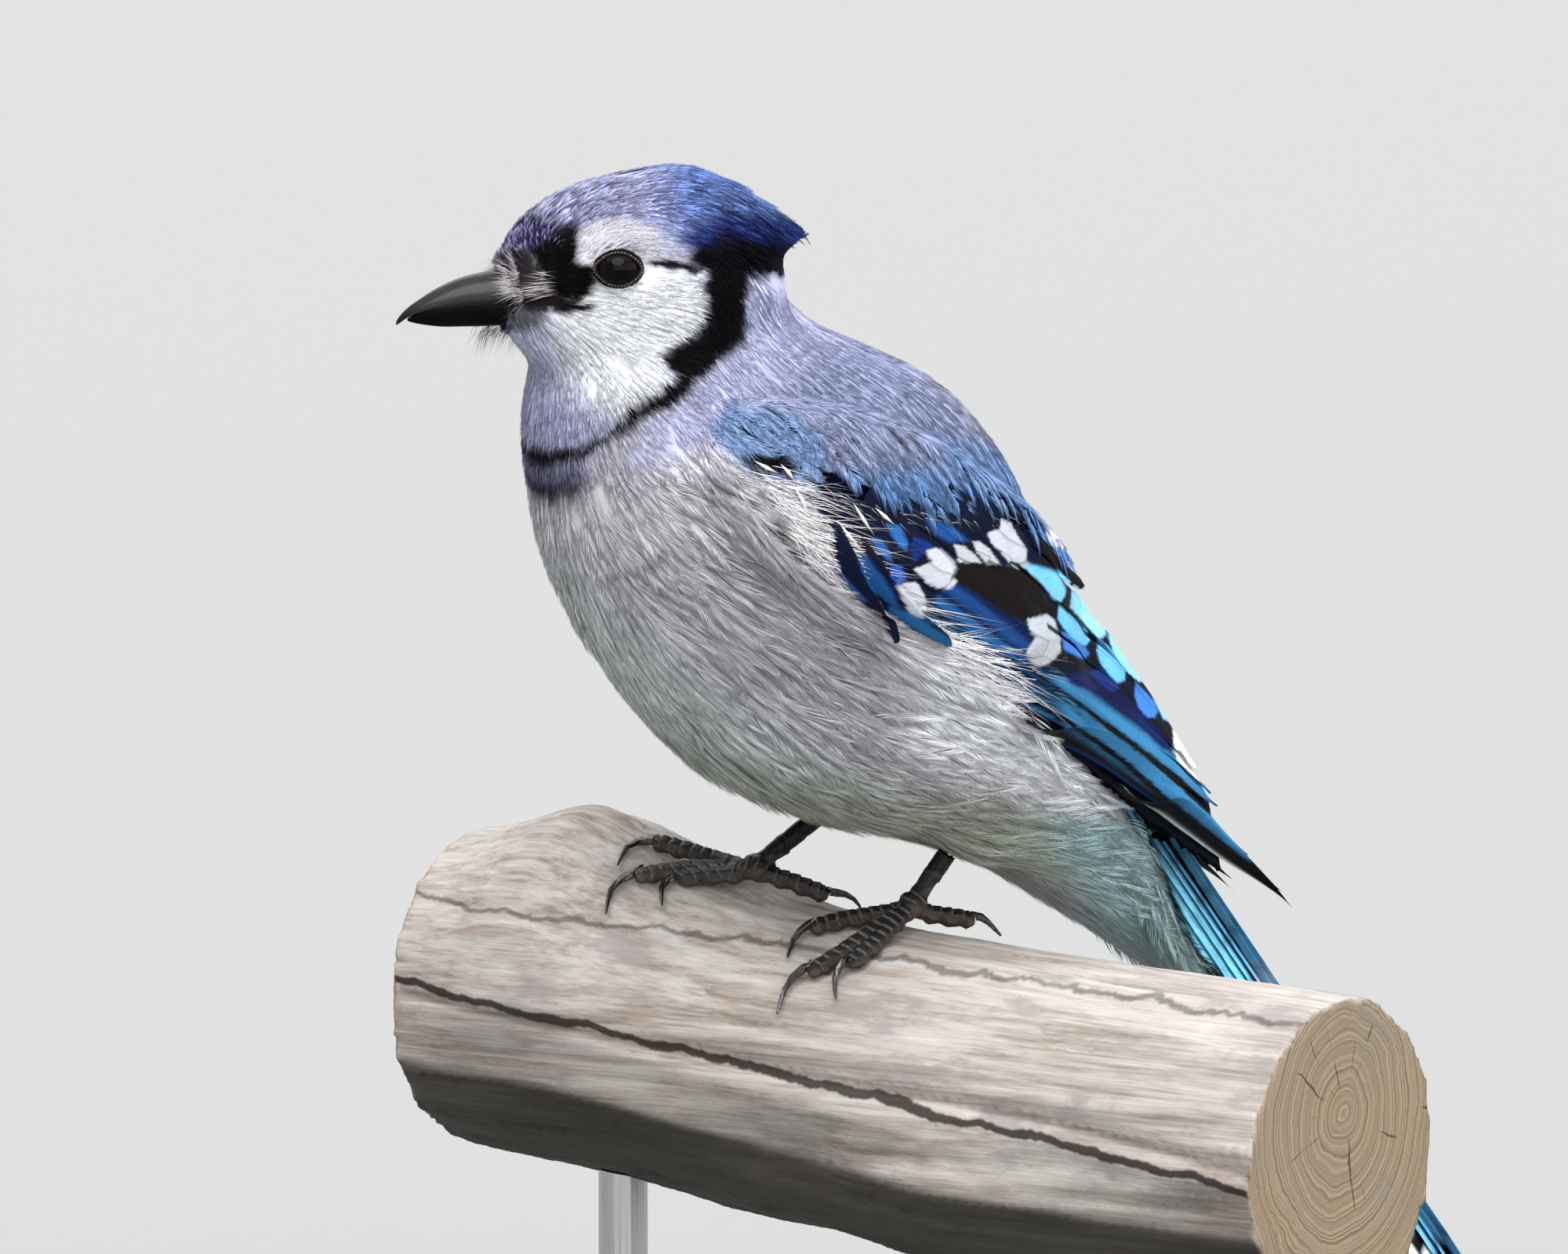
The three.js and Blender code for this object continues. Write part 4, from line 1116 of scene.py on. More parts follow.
# Left wing, lowest feather first. edge: its lower edge in the frame; wide, high: millimetres; low, up: the
# colours of the webs below and above the shaft, with a rim; point, blunt: how much of it is its tip; narrow:
# how much slimmer it grows towards its end; leaf: which vane it bends.
wingFeathers = {
    "bastard": dict(edge=[(960, 600), (1010, 690), (1060, 765), (1120, 838)], wide=7.5, high=0.2, shaft=0.4,
        low="dusk", up="navy", rim="navy"),
    "primary1": dict(edge=[(1210, 890), (1290, 932), (1362, 969), (1450, 1024), (1560, 1102), (1646, 1161)],
        wide=5.0, high=0.1, shaft=0.2, low="smoke", up="black", rim="grey", point=0.45),
    "primary2": dict(edge=[(1190, 862), (1262, 907), (1380, 965), (1480, 1029), (1580, 1104), (1634, 1146)],
        wide=5.4, high=0.22, shaft=0.2, low="black", up="black", rim="deep", point=0.45),
    "primary3": dict(edge=[(1140, 800), (1226, 850), (1304, 905), (1354, 928), (1429, 982), (1512, 1040),
        (1596, 1102)], wide=6.0, high=0.34, shaft=0.34, low="blue", up="black", rim="deep", point=0.4),
    "primary4": dict(edge=[(1130, 770), (1221, 827), (1304, 872), (1387, 926), (1470, 984), (1556, 1048)],
        wide=6.6, high=0.46, shaft=0.46, low="blue", up="black", rim="deep", point=0.35),
    "primary5": dict(edge=[(1120, 740), (1205, 777), (1304, 832), (1387, 889), (1470, 952), (1548, 1022)],
        wide=6.0, high=0.58, shaft=0.3, low="blue", up="black", rim="deep", point=0.3),
    "lowCovert": dict(edge=[(985, 640), (1030, 700), (1090, 775), (1150, 830), (1190, 852)], wide=8.0,
        high=0.5, shaft=0.35, low="dusk", up="navy", rim="deep"),
    "midCovert": dict(edge=[(1040, 660), (1075, 710), (1120, 765), (1165, 810), (1204, 843)], wide=5.6,
        high=0.7, shaft=0.4, low="navy", up="black", rim="deep"),
    "secondary1": dict(edge=[(1150, 745), (1240, 800), (1317, 843), (1374, 872), (1430, 908), (1478, 946),
        (1504, 974)], wide=5.6, high=0.72, shaft=0.6, low="navy", up="violet", rim="violet", narrow=0.8,
        leaf="long"),
    "secondary2": dict(edge=[(1230, 715), (1290, 762), (1350, 808), (1403, 858), (1447, 905), (1482, 945),
        (1506, 976)], wide=5.0, high=0.88, shaft=0.8, low="sky", up="black", rim="violet", leaf="long"),
    "secondary3": dict(edge=[(1245, 680), (1300, 725), (1350, 771), (1396, 819), (1437, 871), (1472, 920),
        (1496, 960), (1520, 999)], wide=4.8, high=1.02, shaft=0.88, low="cyan", up="black", rim="black",
        narrow=0.6, leaf="long"),
    "backTip": dict(edge=[(1300, 690), (1340, 722), (1386, 756)], wide=3.4, high=1.1, shaft=0.5,
        low="brown", up="brown", rim="black"),
    "navyCovert": dict(edge=[(1110, 715), (1180, 765), (1263, 820), (1320, 851), (1358, 868)], wide=6.4,
        high=0.98, shaft=0.3, low="deep", up="navy", rim="navy"),
    "navyCovert2": dict(edge=[(1100, 690), (1170, 742), (1250, 800), (1322, 850)], wide=5.4, high=1.05,
        shaft=0.3, low="navy", up="black", rim="deep"),
    "blackCovert": dict(edge=[(1150, 700), (1209, 752), (1255, 800), (1300, 834), (1330, 848)], wide=8.6,
        high=1.2, shaft=0.44, low="navy", up="brown", rim="navy", blunt=0.15),
    "covert1": dict(edge=[(1050, 650), (1094, 706), (1115, 735), (1140, 765), (1172, 783)], wide=4.8,
        high=1.3, shaft=0.5, low="deep", up="navy", rim="deep"),
    "smallCovert1": dict(edge=[(1075, 650), (1105, 686), (1130, 716), (1152, 726)], wide=3.4, high=1.36,
        shaft=0.5, low="blue", up="deep", rim="navy"),
    "covert2": dict(edge=[(1085, 655), (1120, 690), (1150, 722), (1182, 750), (1208, 758)], wide=6.4,
        high=1.42, shaft=0.5, low="navy", up="navy", rim="deep", blunt=0.2),
    "smallCovert2": dict(edge=[(1095, 640), (1125, 668), (1148, 698), (1168, 710)], wide=3.6, high=1.5,
        shaft=0.5, low="blue", up="deep", rim="navy"),
    "covert3": dict(edge=[(1130, 648), (1180, 682), (1215, 710), (1254, 728)], wide=4.4, high=1.54,
        shaft=0.5, low="navy", up="navy", rim="deep"),
    "covert4": dict(edge=[(1165, 648), (1210, 680), (1245, 708), (1280, 730)], wide=4.6, high=1.62,
        shaft=0.5, low="navy", up="deep", rim="deep"),
    "covert5": dict(edge=[(1195, 640), (1235, 672), (1268, 708), (1304, 728)], wide=6.4, high=1.72,
        shaft=0.5, low="navy", up="deep", rim="deep", blunt=0.2),
    "covert6": dict(edge=[(1250, 640), (1300, 672), (1336, 702), (1356, 718)], wide=3.0, high=1.6,
        shaft=0.5, low="navy", up="navy", rim="deep"),
}
wingSecondaries = ("secondary1", "secondary2", "secondary3", "backTip")
# Markings of the folded wing, each laid over those before it: outline in the frame, softness, colour.
wingMarks = [
    ([(1180, 745), (1250, 770), (1323, 826), (1391, 870), (1470, 930), (1524, 982), (1546, 1020),
        (1560, 1044), (1580, 1076), (1592, 1094), (1560, 1070), (1484, 1012), (1399, 943), (1323, 898),
        (1226, 850), (1150, 800)], 2, (18, 60, 98)),
    ([(1340, 850), (1470, 932), (1524, 982), (1560, 1044), (1592, 1092), (1560, 1070), (1484, 1012),
        (1360, 924)], 12, (52, 120, 166)),
    ([(1120, 690), (1250, 720), (1330, 800), (1300, 836), (1230, 796), (1130, 740)], 8, (6, 26, 66)),
    # blue webs that show between the dark coverts
    ([(1160, 738), (1210, 768), (1262, 806), (1312, 838), (1306, 848), (1254, 820), (1204, 784),
        (1158, 752)], 3, (28, 82, 136)),
    ([(1192, 728), (1240, 762), (1290, 800), (1322, 828), (1314, 836), (1282, 813), (1234, 777),
        (1188, 742)], 3, (20, 60, 118)),
    ([(1136, 766), (1180, 794), (1228, 826), (1224, 838), (1176, 810), (1134, 780)], 3, (34, 94, 150)),
    ([(1060, 656), (1092, 700), (1124, 745), (1114, 753), (1080, 714), (1050, 670)], 3, (44, 80, 150)),
    ([(1036, 686), (1070, 728), (1104, 766), (1094, 773), (1060, 740), (1028, 698)], 3, (52, 84, 150)),
    # the dark field behind the barred patches
    ([(1290, 690), (1340, 690), (1400, 740), (1470, 830), (1520, 930), (1540, 1000), (1505, 968),
        (1470, 934), (1420, 898), (1370, 866), (1318, 842), (1340, 800), (1330, 750)], 2, (4, 6, 24)),
    ([(1360, 858), (1400, 852), (1450, 900), (1500, 966), (1460, 934), (1400, 890)], 5, (6, 16, 58)),
    ([(1388, 858), (1404, 853), (1420, 865), (1428, 878), (1419, 884), (1405, 873)], 2, (18, 42, 104)),
    ([(1356, 862), (1376, 859), (1396, 873), (1402, 885), (1385, 879), (1366, 873)], 2, (12, 28, 84)),
    ([(1438, 904), (1461, 915), (1481, 936), (1496, 958), (1484, 956), (1468, 940), (1449, 921)], 2,
        (10, 26, 84)),
    # lower row of patches
    ([(1354, 806), (1369, 811), (1382, 822), (1389, 834), (1383, 841), (1370, 836), (1357, 828)], 2,
        (60, 118, 200)),
    ([(1351, 772), (1361, 781), (1374, 792), (1386, 805), (1390, 817), (1385, 824), (1373, 818),
        (1360, 806), (1349, 790)], 1.5, (104, 184, 236)),
    ([(1401, 814), (1414, 825), (1429, 841), (1436, 855), (1434, 868), (1426, 872), (1416, 862),
        (1404, 847), (1399, 831)], 1.5, (98, 174, 232)),
    ([(1448, 870), (1461, 883), (1472, 896), (1477, 908), (1473, 916), (1463, 915), (1451, 902),
        (1447, 887)], 1.5, (58, 122, 210)),
    # upper row of patches, which runs on over the wing's upper edge
    ([(1294, 716), (1306, 690), (1345, 708), (1372, 736), (1360, 750), (1359, 760), (1353, 768),
        (1344, 765), (1331, 747), (1318, 732)], 1.5, (112, 188, 234)),
    ([(1368, 746), (1392, 746), (1424, 780), (1411, 798), (1409, 811), (1402, 816), (1390, 803),
        (1376, 787), (1365, 775)], 1.5, (142, 208, 240)),
    ([(1412, 796), (1434, 794), (1476, 846), (1460, 856), (1459, 868), (1452, 870), (1438, 857),
        (1421, 833), (1415, 817)], 1.5, (134, 202, 240)),
    ([(1469, 864), (1488, 866), (1512, 904), (1498, 914), (1493, 922), (1484, 917), (1476, 902),
        (1468, 884)], 1.5, (138, 196, 246)),
    ([(1496, 926), (1502, 936), (1516, 955), (1540, 985), (1536, 1000), (1517, 986), (1504, 973),
        (1498, 960)], 1.5, (236, 240, 246)),
    # coverts: navy, with blue middles and white tips
    ([(1060, 600), (1230, 630), (1360, 660), (1350, 730), (1300, 716), (1215, 722), (1190, 770),
        (1150, 780), (1080, 740), (1040, 690)], 4, (6, 12, 36)),
    ([(1131, 667), (1147, 670), (1158, 691), (1156, 703), (1147, 697), (1137, 682)], 2, (36, 98, 166)),
    ([(1111, 685), (1124, 688), (1136, 706), (1139, 717), (1130, 714), (1118, 700)], 2, (32, 84, 146)),
    ([(1136, 720), (1150, 723), (1156, 738), (1146, 749), (1137, 735)], 2, (26, 74, 164)),
    ([(1094, 706), (1106, 712), (1124, 735), (1139, 755), (1147, 776), (1133, 770), (1112, 752),
        (1100, 729)], 2.5, (28, 76, 134)),
    ([(1165, 685), (1183, 691), (1191, 697), (1177, 708), (1166, 718), (1161, 700)], 2, (14, 40, 108)),
    ([(1180, 662), (1210, 668), (1236, 690), (1212, 692), (1190, 680)], 3, (24, 70, 130)),
    ([(1144, 749), (1153, 744), (1168, 742), (1177, 755), (1182, 768), (1176, 790), (1160, 782),
        (1151, 764)], 1.2, (180, 185, 194)),
    ([(1181, 703), (1193, 699), (1206, 703), (1219, 720), (1226, 736), (1212, 752), (1194, 750),
        (1183, 745), (1174, 734), (1164, 727), (1180, 720), (1189, 716), (1184, 711)], 1.2,
        (180, 185, 194)),
    ([(1216, 694), (1229, 697), (1244, 708), (1257, 724), (1250, 732), (1224, 722), (1220, 705)], 1.2,
        (176, 180, 188)),
    ([(1240, 691), (1250, 691), (1262, 700), (1277, 722), (1272, 732), (1260, 721), (1246, 705)], 1.2,
        (176, 180, 188)),
    ([(1259, 680), (1275, 675), (1277, 662), (1289, 667), (1297, 682), (1309, 700), (1310, 722),
        (1296, 728), (1279, 708), (1264, 692)], 1.2, (182, 187, 196)),
    ([(1332, 668), (1344, 676), (1366, 712), (1358, 722), (1345, 704), (1336, 686)], 1.5, (206, 212, 224)),
    # the black covert
    ([(1213, 738), (1224, 717), (1244, 718), (1279, 721), (1309, 728), (1324, 741), (1333, 761),
        (1340, 784), (1322, 790), (1310, 794), (1294, 788), (1268, 773), (1244, 756)], 1.5, (15, 11, 10)),
    ([(1310, 790), (1322, 788), (1335, 783), (1346, 792), (1352, 812), (1352, 832), (1338, 846),
        (1320, 852), (1308, 834), (1320, 814), (1313, 802)], 1.2, (178, 186, 194)),
    ([(1322, 822), (1350, 812), (1352, 832), (1338, 846), (1320, 852), (1310, 836)], 3, (162, 168, 171)),
    # the brown bump on the back
    ([(1312, 684), (1330, 690), (1352, 712), (1380, 722), (1394, 750), (1392, 764), (1366, 744),
        (1340, 716)], 2, (16, 13, 11)),
]
# Dark edges between the long feathers, partly painted shade where one feather lies over the next: line in the
# frame, half thickness at its start and end.
wingEdgeAndShadeLines = [
    ([(1282, 838), (1323, 860), (1361, 887), (1399, 916), (1440, 946), (1476, 974), (1505, 998),
        (1566, 1054)], 0.8, 5.0),
    ([(1226, 850), (1267, 868), (1323, 899), (1358, 919), (1399, 946), (1440, 977), (1484, 1018),
        (1590, 1104)], 1.5, 4),
    ([(1199, 775), (1240, 800), (1282, 824), (1323, 846), (1355, 864)], 2.2, 0.8),
    ([(1205, 806), (1245, 828), (1290, 852), (1330, 872), (1380, 912)], 2.4, 0.6),
    ([(1170, 770), (1210, 790), (1240, 812), (1290, 838)], 3.0, 0.8),
    ([(1215, 745), (1250, 774), (1290, 800), (1318, 822)], 5.0, 2.0),
    ([(1190, 800), (1226, 824), (1262, 846)], 3.0, 0.6),
    ([(1380, 852), (1430, 892), (1470, 926), (1530, 984), (1590, 1040)], 1.0, 2.0),
    ([(1320, 784), (1331, 806), (1348, 822)], 0.5, 0.5),
]


def wingMarked(points, tints):  # markings laid over the feathers' own colours
    seen = points * [-1, 1, 1] if points[:, 0].mean() < 0 else points
    chart = chartOf(seen) + 0.9 * np.stack([cloud(points, 0.45, 21), cloud(points, 0.45, 22)], axis=1)
    for corners, soft, tint in wingMarks:
        tints = blend(tints, paint(*tint), within(chart, corners, soft))
        if corners is wingMarks[1][0]:  # the dark edges and painted shade lines come after the two blue fields
            for line, first, last in wingEdgeAndShadeLines:
                line = np.asarray(line, float)
                for k in range(len(line) - 1):
                    part, far = besideEdge(chart, line[k], line[k + 1])
                    half = first + (last - first) * (k + part) / (len(line) - 1)
                    tints = blend(tints, black, 1 - ramp(far, half, half + 1.6))
    return tints


for _ in range(30):  # the wing's own bends are smoothed out of the directions that feathers stand off in
    spread = np.zeros_like(leftBedNormals)
    for k in range(3):
        np.add.at(spread, leftBedTriangles[:, k], leftBedNormals[leftBedTriangles].sum(axis=1))
    leftBedNormals = unit(spread)


def castLine(places):  # places in the frame brought onto the left wing
    points, ways = [], []
    for spot in places:
        ray = rayThrough(spot)
        hit = leftBedTree.ray_cast(eyePoint.tolist(), ray.tolist())
        if hit[0] is not None:
            points.append(np.array(hit[0]))
            ways.append(unit(leftBedNormals[leftBedTriangles[hit[2]]].sum(axis=0)))
        else:
            points.append(None)
            ways.append(None)
    known = [k for k, point in enumerate(points) if point is not None]
    for k, point in enumerate(points):
        if point is None:  # past the wing's edge: as far from the camera as the wing's nearest place
            near = min(known, key=lambda j: abs(j - k))
            ray = rayThrough(places[k])
            reach = np.linalg.norm(points[near] - eyePoint)
            for _ in range(3):
                spot, way, face, far = leftBedTree.find_nearest((eyePoint + ray * reach).tolist())
                reach = (np.array(spot) - eyePoint) @ lookBack / (ray @ lookBack)
            points[k] = eyePoint + ray * reach
            ways[k] = unit(leftBedNormals[leftBedTriangles[face]].sum(axis=0))
    points, ways = np.array(points), np.array(ways)
    ways[1:-1] = unit(ways[:-2] + ways[1:-1] * 2 + ways[2:])
    return points, ways


def bendVane(line, ways, form, seed, tree):
    leaf = vanes[form.get("leaf", "plain")]
    rows, across, along, top = leaf["rows"], leaf["across"], leaf["along"], leaf["top"]
    shaftLine = alongLine(line, rows)
    run = np.linspace(0, len(ways) - 1, rows)
    wayLine = unit(np.stack([np.interp(run, np.arange(len(ways)), ways[:, k]) for k in range(3)], axis=1))
    heading = unit(np.gradient(shaftLine, axis=0))
    upAcross = unit(np.cross(wayLine, heading))
    if (upAcross @ form.get("toward", lookUp + lookAcross)).mean() < 0:
        upAcross = -upAcross
    length = np.linalg.norm(np.diff(shaftLine, axis=0), axis=1).sum()
    row = np.rint(along * (rows - 1)).astype(int)
    roundFrom = 1 - form.get("point", form.get("blunt", 0.16))
    tip = np.clip((along - roundFrom) / (1 - roundFrom), 0, 1)
    full = 1 - tip ** 1.5 if "point" in form else (1 - tip ** 2.2) ** (1 / 2.2)
    full = np.clip(full, 0.02, 1) * (0.55 + 0.45 * ramp(along, 0, 0.18))
    full = full * (1 - (1 - form.get("narrow", 1)) * ramp(along, 0.3, 0.95))
    shaft = form["shaft"]
    uneven = cloud(np.stack([along * length, across * 2, np.full(len(along), seed)], axis=1), 0.9, 3)
    wide = form["wide"] * (shaft + (across - shaft) * full * (1 + 0.035 * uneven))
    flat = shaftLine[row] + upAcross[row] * wide[:, None]
    normal = wayLine[row]
    if tree is not None:
        settled = np.empty(len(flat))
        for k, point in enumerate(flat.tolist()):
            near = tree.find_nearest(point)[0]
            settled[k] = (np.array(near) - point) @ normal[k]
        settled = np.clip(settled, -1.2, 1.2)
        if "point" in form:  # a tip that stands clear of the wing runs straight on
            held = settled[np.abs(along - 0.84) < 0.03].mean()
            free = ramp(along, 0.78, 0.90)
            settled = settled * (1 - free) + held * free
        flat = flat + normal * settled[:, None]
    camber = 0.22 * (1 - (2 * across - 1) ** 2)
    ridge = 0.10 * np.exp(-((across - shaft) / 0.035) ** 2)
    sunk = 0 if tree is None else 0.6  # a wing's feathers lie a little inside the solid wing
    lifted = form["high"] - sunk + camber + ridge * top + (top - 0.5) * vaneThick * (0.5 + 0.5 * full)
    return flat + normal * lifted[:, None], (across - shaft) * form["wide"], length


def vaneColours(form, points, fromShaft):
    leaf = vanes[form.get("leaf", "plain")]
    across = leaf["across"]
    low, up, rim = (vaneTints[form[part]] for part in ("low", "up", "rim"))
    shaft = form["shaft"]
    webUp = ramp(across, shaft - 0.03, shaft + 0.05)
    tints = blend(blend(low, up, webUp), rim, 1 - ramp(across, 0.02, 0.16))
    fade = (ramp(across, 0.1, shaft) * (1 - webUp))[:, None]
    tints = wingMarked(points, tints * (1 - 0.35 * fade))
    middle = np.exp(-(fromShaft / 0.12) ** 2)[:, None]
    # the underside of each vane is a darker copy of its top: painted shade
    return tints * (1 - 0.40 * middle) * np.where(leaf["top"] > 0.5, 1, 0.55)[:, None]


def vaneLook(start, here):
    grid = start.make("UVMap", {"uv_map": "Vane"})
    wide = start.make("SeparateXYZ", None, {0: grid})  # millimetres from the shaft, over ten
    far = wide.output(1)
    barbs = far - start.sum("ABSOLUTE", wide) * 1.3
    lines = start.vector(barbs * 60, wide * 6).noise(1.0, 3, 0.6)
    fine = start.vector(barbs * 190, wide * 4).noise(1.0, 2, 0.5)
    broad = here.noise(220, 3)
    much = (lines * 0.55 + fine * 0.25 + broad * 0.20).between(0.30, 0.66)
    dark = much.mix((0.62, 0.64, 0.70), (1.12, 1.10, 1.06))
    height = lines * 0.7 + fine * 0.3
    return {"Base Color": cornerTint(start).times(dark), "Roughness": 0.42 + lines * 0.25,
            "Normal": start.bump(height, 0.35, 0.00012)}


wingLook = finish("flightFeathers", vaneLook, 0.07)


def buildVanes(name, bent, slotName, nodes=(), mirrored=False):
    # bent: corners, colours, map and leaf of each feather
    points, tints, grid = (np.vstack([item[k] for item in bent]) for k in range(3))
    starts = np.cumsum([0] + [len(item[0]) for item in bent[:-1]])
    faces = np.vstack([vanes[item[3]]["faces"] + start for item, start in zip(bent, starts)])
    if mirrored:
        points = points * [-1, 1, 1]
        faces = faces[:, ::-1]
    piece = newPiece(name, points, faces, wingLook, tints, {"Vane": grid})
    facesOut(piece)
    place(piece, slotName, *nodes)
    print(name + ":", len(bent), "feathers")


def bentFeather(form, seed):
    line, ways = castLine(form["edge"])
    points, fromShaft, length = bendVane(line, ways, form, seed, leftBedTree)
    # below the open wing the flank lies over it
    shown = chartOf(points)
    bare = np.minimum(within(shown, openWing, 16), within(shown + [0, 13], openWing, 16))
    covered = (1 - bare) * (1 - ramp(shown[:, 0], 1290, 1370))
    points = points - ways.mean(axis=0) * (2.6 * ramp(covered, 0.4, 1.0))[:, None]
    leaf = form.get("leaf", "plain")
    grid = np.stack([fromShaft / 10 + 0.5, vanes[leaf]["along"] * length / 10], axis=1)
    return points, vaneColours(form, points, fromShaft), grid, leaf


groups = {"coverts": [], "secondaries": [], "primaries": []}
for seed, (name, form) in enumerate(wingFeathers.items()):
    group = "primaries" if "primary" in name else "secondaries" if name in wingSecondaries else "coverts"
    groups[group].append(bentFeather(form, seed))
for group, bent in groups.items():
    for side in ("left", "right"):
        buildVanes(f"{side}_{group}", bent, "wing_feathers", [f"wing_{side}_{group}"], side == "right")
for bed in wingBeds.values():
    points, triangles = meshArrays(bed)
    # the bed is near-black where no marking lies: painted shade in the gaps between the feathers
    paintCorners(bed, wingMarked(points, np.tile(paint(7, 9, 18), (len(points), 1))))
    # the feathers alone make the point of the wing, and its bed ends before it
    beyond = np.maximum(points[:, 1] - 62, 0)
    setCorners(bed, points + beyond[:, None] * [0, -0.85, 0.75])
    wear(bed, skinLook)
    place(bed, "wing_feathers")


# Tail: six feathers a side, roofed over each other like tiles, the middle pair on top.
tailForm = {
    "root": (0, 45, 20),
    "droop": 54,  # degrees below level
    "length": 120,
    "each": 2.4,  # how much of each feather shows beside the one above it
    "lean": (24, 9),  # degrees that the middle one leans outward, and how much more each next one does
    "wide": 6.6,
    "outerWide": 0.74,  # how wide the outermost is for the others
    "first": (0.9, 1.4),  # where the middle pair starts, out and up from the root
    "shorter": 1.2,  # each next one, in mm
    "bars": 8.2,  # mm from one black bar to the next
    "white": (0, 8, 14, 18, 22, 26),  # mm of white at each one's end
}
fall = math.radians(tailForm["droop"])
tailDown = np.array([0, math.cos(fall), -math.sin(fall)])
tailUp = np.array([0, math.sin(fall), math.cos(fall)])
# markings of the closed tail: outline in the frame, softness, colour, first feather that has it
tailMarks = [
    # the dark band along the tail's lower edge: the dark inner web, deepened with painted shade
    ([(1430, 1040), (1462, 1056), (1503, 1150), (1549, 1264), (1520, 1275), (1480, 1170)], 3, (7, 9, 16), 2),
    ([(1560, 1140), (1584, 1150), (1640, 1262), (1612, 1270), (1585, 1215)], 3, (186, 216, 244), 0),
]


def tailColours(number, shaft, points, fromShaft, length):
    across, along, top = vanes["plain"]["across"], vanes["plain"]["along"], vanes["plain"]["top"]
    blue = paint(104, 180, 232) if number == 0 else paint(124, 206, 240)
    outer = ramp(shaft + 0.20 - across, -0.02, 0.04)
    tints = blend(blue * 0.8 if number < 2 else black, blue, outer)
    run = along * length
    barDark = (0.60, 0.40, 0.12, 0.12, 0.12, 0.12)[number]
    for middle in np.arange(14, length - (14 if number else 4), tailForm["bars"]):
        wave = middle + 1.6 * np.abs(across - shaft) + 0.5 * number
        tints = blend(tints, black, (1 - ramp(np.abs(run - wave), 0.45, 0.85)) * barDark)
    streak = cloud(np.stack([run * 0.10, across * 11, np.full(len(run), number)], axis=1), 0.5, 9)
    tints = blend(tints, paint(12, 30, 64), ramp(streak, 0.26, 0.50) * outer * 0.45)
    if number:
        whiteFrom = length - tailForm["white"][number]
        tints = blend(tints, black, 1 - ramp(np.abs(run - (whiteFrom - 2.2)), 1.6, 2.4))
        tints = blend(tints, vaneTints["white"], ramp(run, whiteFrom, whiteFrom + 1.2))
    chart = chartOf(points)
    smudge = ramp(cloud(points * [1, 0.5, 0.5], 0.8, 4), 0.15, 0.45)
    for corners, soft, tint, first in tailMarks:
        much = within(chart, corners, soft) * (1 - 0.5 * smudge) * (number >= first)
        tints = blend(tints, paint(*tint), much)
    tints = blend(tints, black, 0.35 * np.exp(-(fromShaft / 0.14) ** 2))
    # the underside of each tail feather is its top at half: painted shade
    return tints * np.where(top > 0.5, 1, 0.5)[:, None]


bentTail = []
tailOut = np.array([1.0, 0, 0])
out, up = tailForm["first"]
steps = np.linspace(0, 1, 12)
fan = (0.55 + 0.45 * steps)[:, None]  # the feathers lie closer together at the root
for number in range(6):
    lean = math.radians(tailForm["lean"][0] + number * tailForm["lean"][1])
    if number:
        out += tailForm["each"] * math.cos(lean)
        up -= tailForm["each"] * math.sin(lean)
    way = unit(tailUp * math.cos(lean) + tailOut * math.sin(lean))
    across = tailOut * math.cos(lean) - tailUp * math.sin(lean)
    length = tailForm["length"] - tailForm["shorter"] * number
    middle = (np.array(tailForm["root"]) + tailDown * (steps * length)[:, None]
              + tailOut * out * fan + tailUp * (up * fan) - way * (0.50 * number))
    wide = tailForm["wide"] * (tailForm["outerWide"] if number == 5 else 1)
    shaft = 0.55 if number else 0.73
    line = middle + across * wide * shaft * 0.5
    form = dict(wide=wide, high=0, shaft=shaft, blunt=0.07, toward=-across)
    points, fromShaft, length = bendVane(line, np.tile(way, (12, 1)), form, 40 + number, None)
    grid = np.stack([fromShaft / 10 + 0.5, vanes["plain"]["along"] * length / 10], axis=1)
    bentTail.append((points, tailColours(number, shaft, points, fromShaft, length), grid, "plain"))
mirroredTail = [(points * [-1, 1, 1] + [0, 0, 0.12], *rest) for points, *rest in bentTail]
buildVanes("tail_left_half", bentTail, "tail_feathers", ["tail"])
buildVanes("tail_right_half", mirroredTail, "tail_feathers")


# Bill: two horny sheaths, lofted from the same stations as the solids: forward, top, edge, half width.
billForm = {
    "upper": [(13, 2.9, -3.0, 5.4), (17, 2.4, -3.2, 5.2), (21, 1.7, -3.4, 5.0), (26.5, 0.6, -3.7, 4.3),
              (30.5, -0.2, -3.9, 3.6), (34, -1.5, -4.3, 2.9), (37, -3.1, -4.8, 2.1), (39.3, -4.6, -5.7, 1.3),
              (40.6, -5.9, -6.7, 0.6), (41.1, -6.6, -7.1, 0.15)],
    "lower": [(13, -3.2, -7.3, 5.0), (21, -3.5, -7.7, 4.6), (26.5, -3.8, -7.9, 3.9), (30.5, -4.0, -7.9, 3.2),
              (34, -4.5, -7.8, 2.5), (37, -5.0, -7.3, 1.7), (38.6, -5.8, -6.8, 1.0), (39.3, -6.2, -6.5, 0.3)],
    "stations": 46,
    "sides": 32,
}


def billRings(rows, upward):
    rows = alongLine(rows, billForm["stations"])
    angles = np.linspace(0, 2 * math.pi, billForm["sides"], endpoint=False) + math.pi
    rings = []
    for forward, first, second, half in rows:
        top, bottom = (first, second) if upward else (second, first)
        tall = top - bottom
        side = np.sin(angles)
        high = -np.cos(angles)
        outer = high > 0
        across = half * np.sign(side) * np.abs(side) ** 0.85 * np.where(outer, 1, 0.97)
        ridge = 1 - 0.16 * np.exp(-(side / 0.35) ** 2) * (-1 if upward else 1)
        rise = np.where(outer, np.abs(high) ** 0.9 * tall * ridge, high * 0.10 * tall)
        if not upward:  # the lower sheath closes just inside the upper
            across = across * (1 - 0.075 * min(half, 1))
        rings.append(fromHead(np.stack([np.full(len(angles), forward), across, bottom + rise], axis=1)))
    return rings


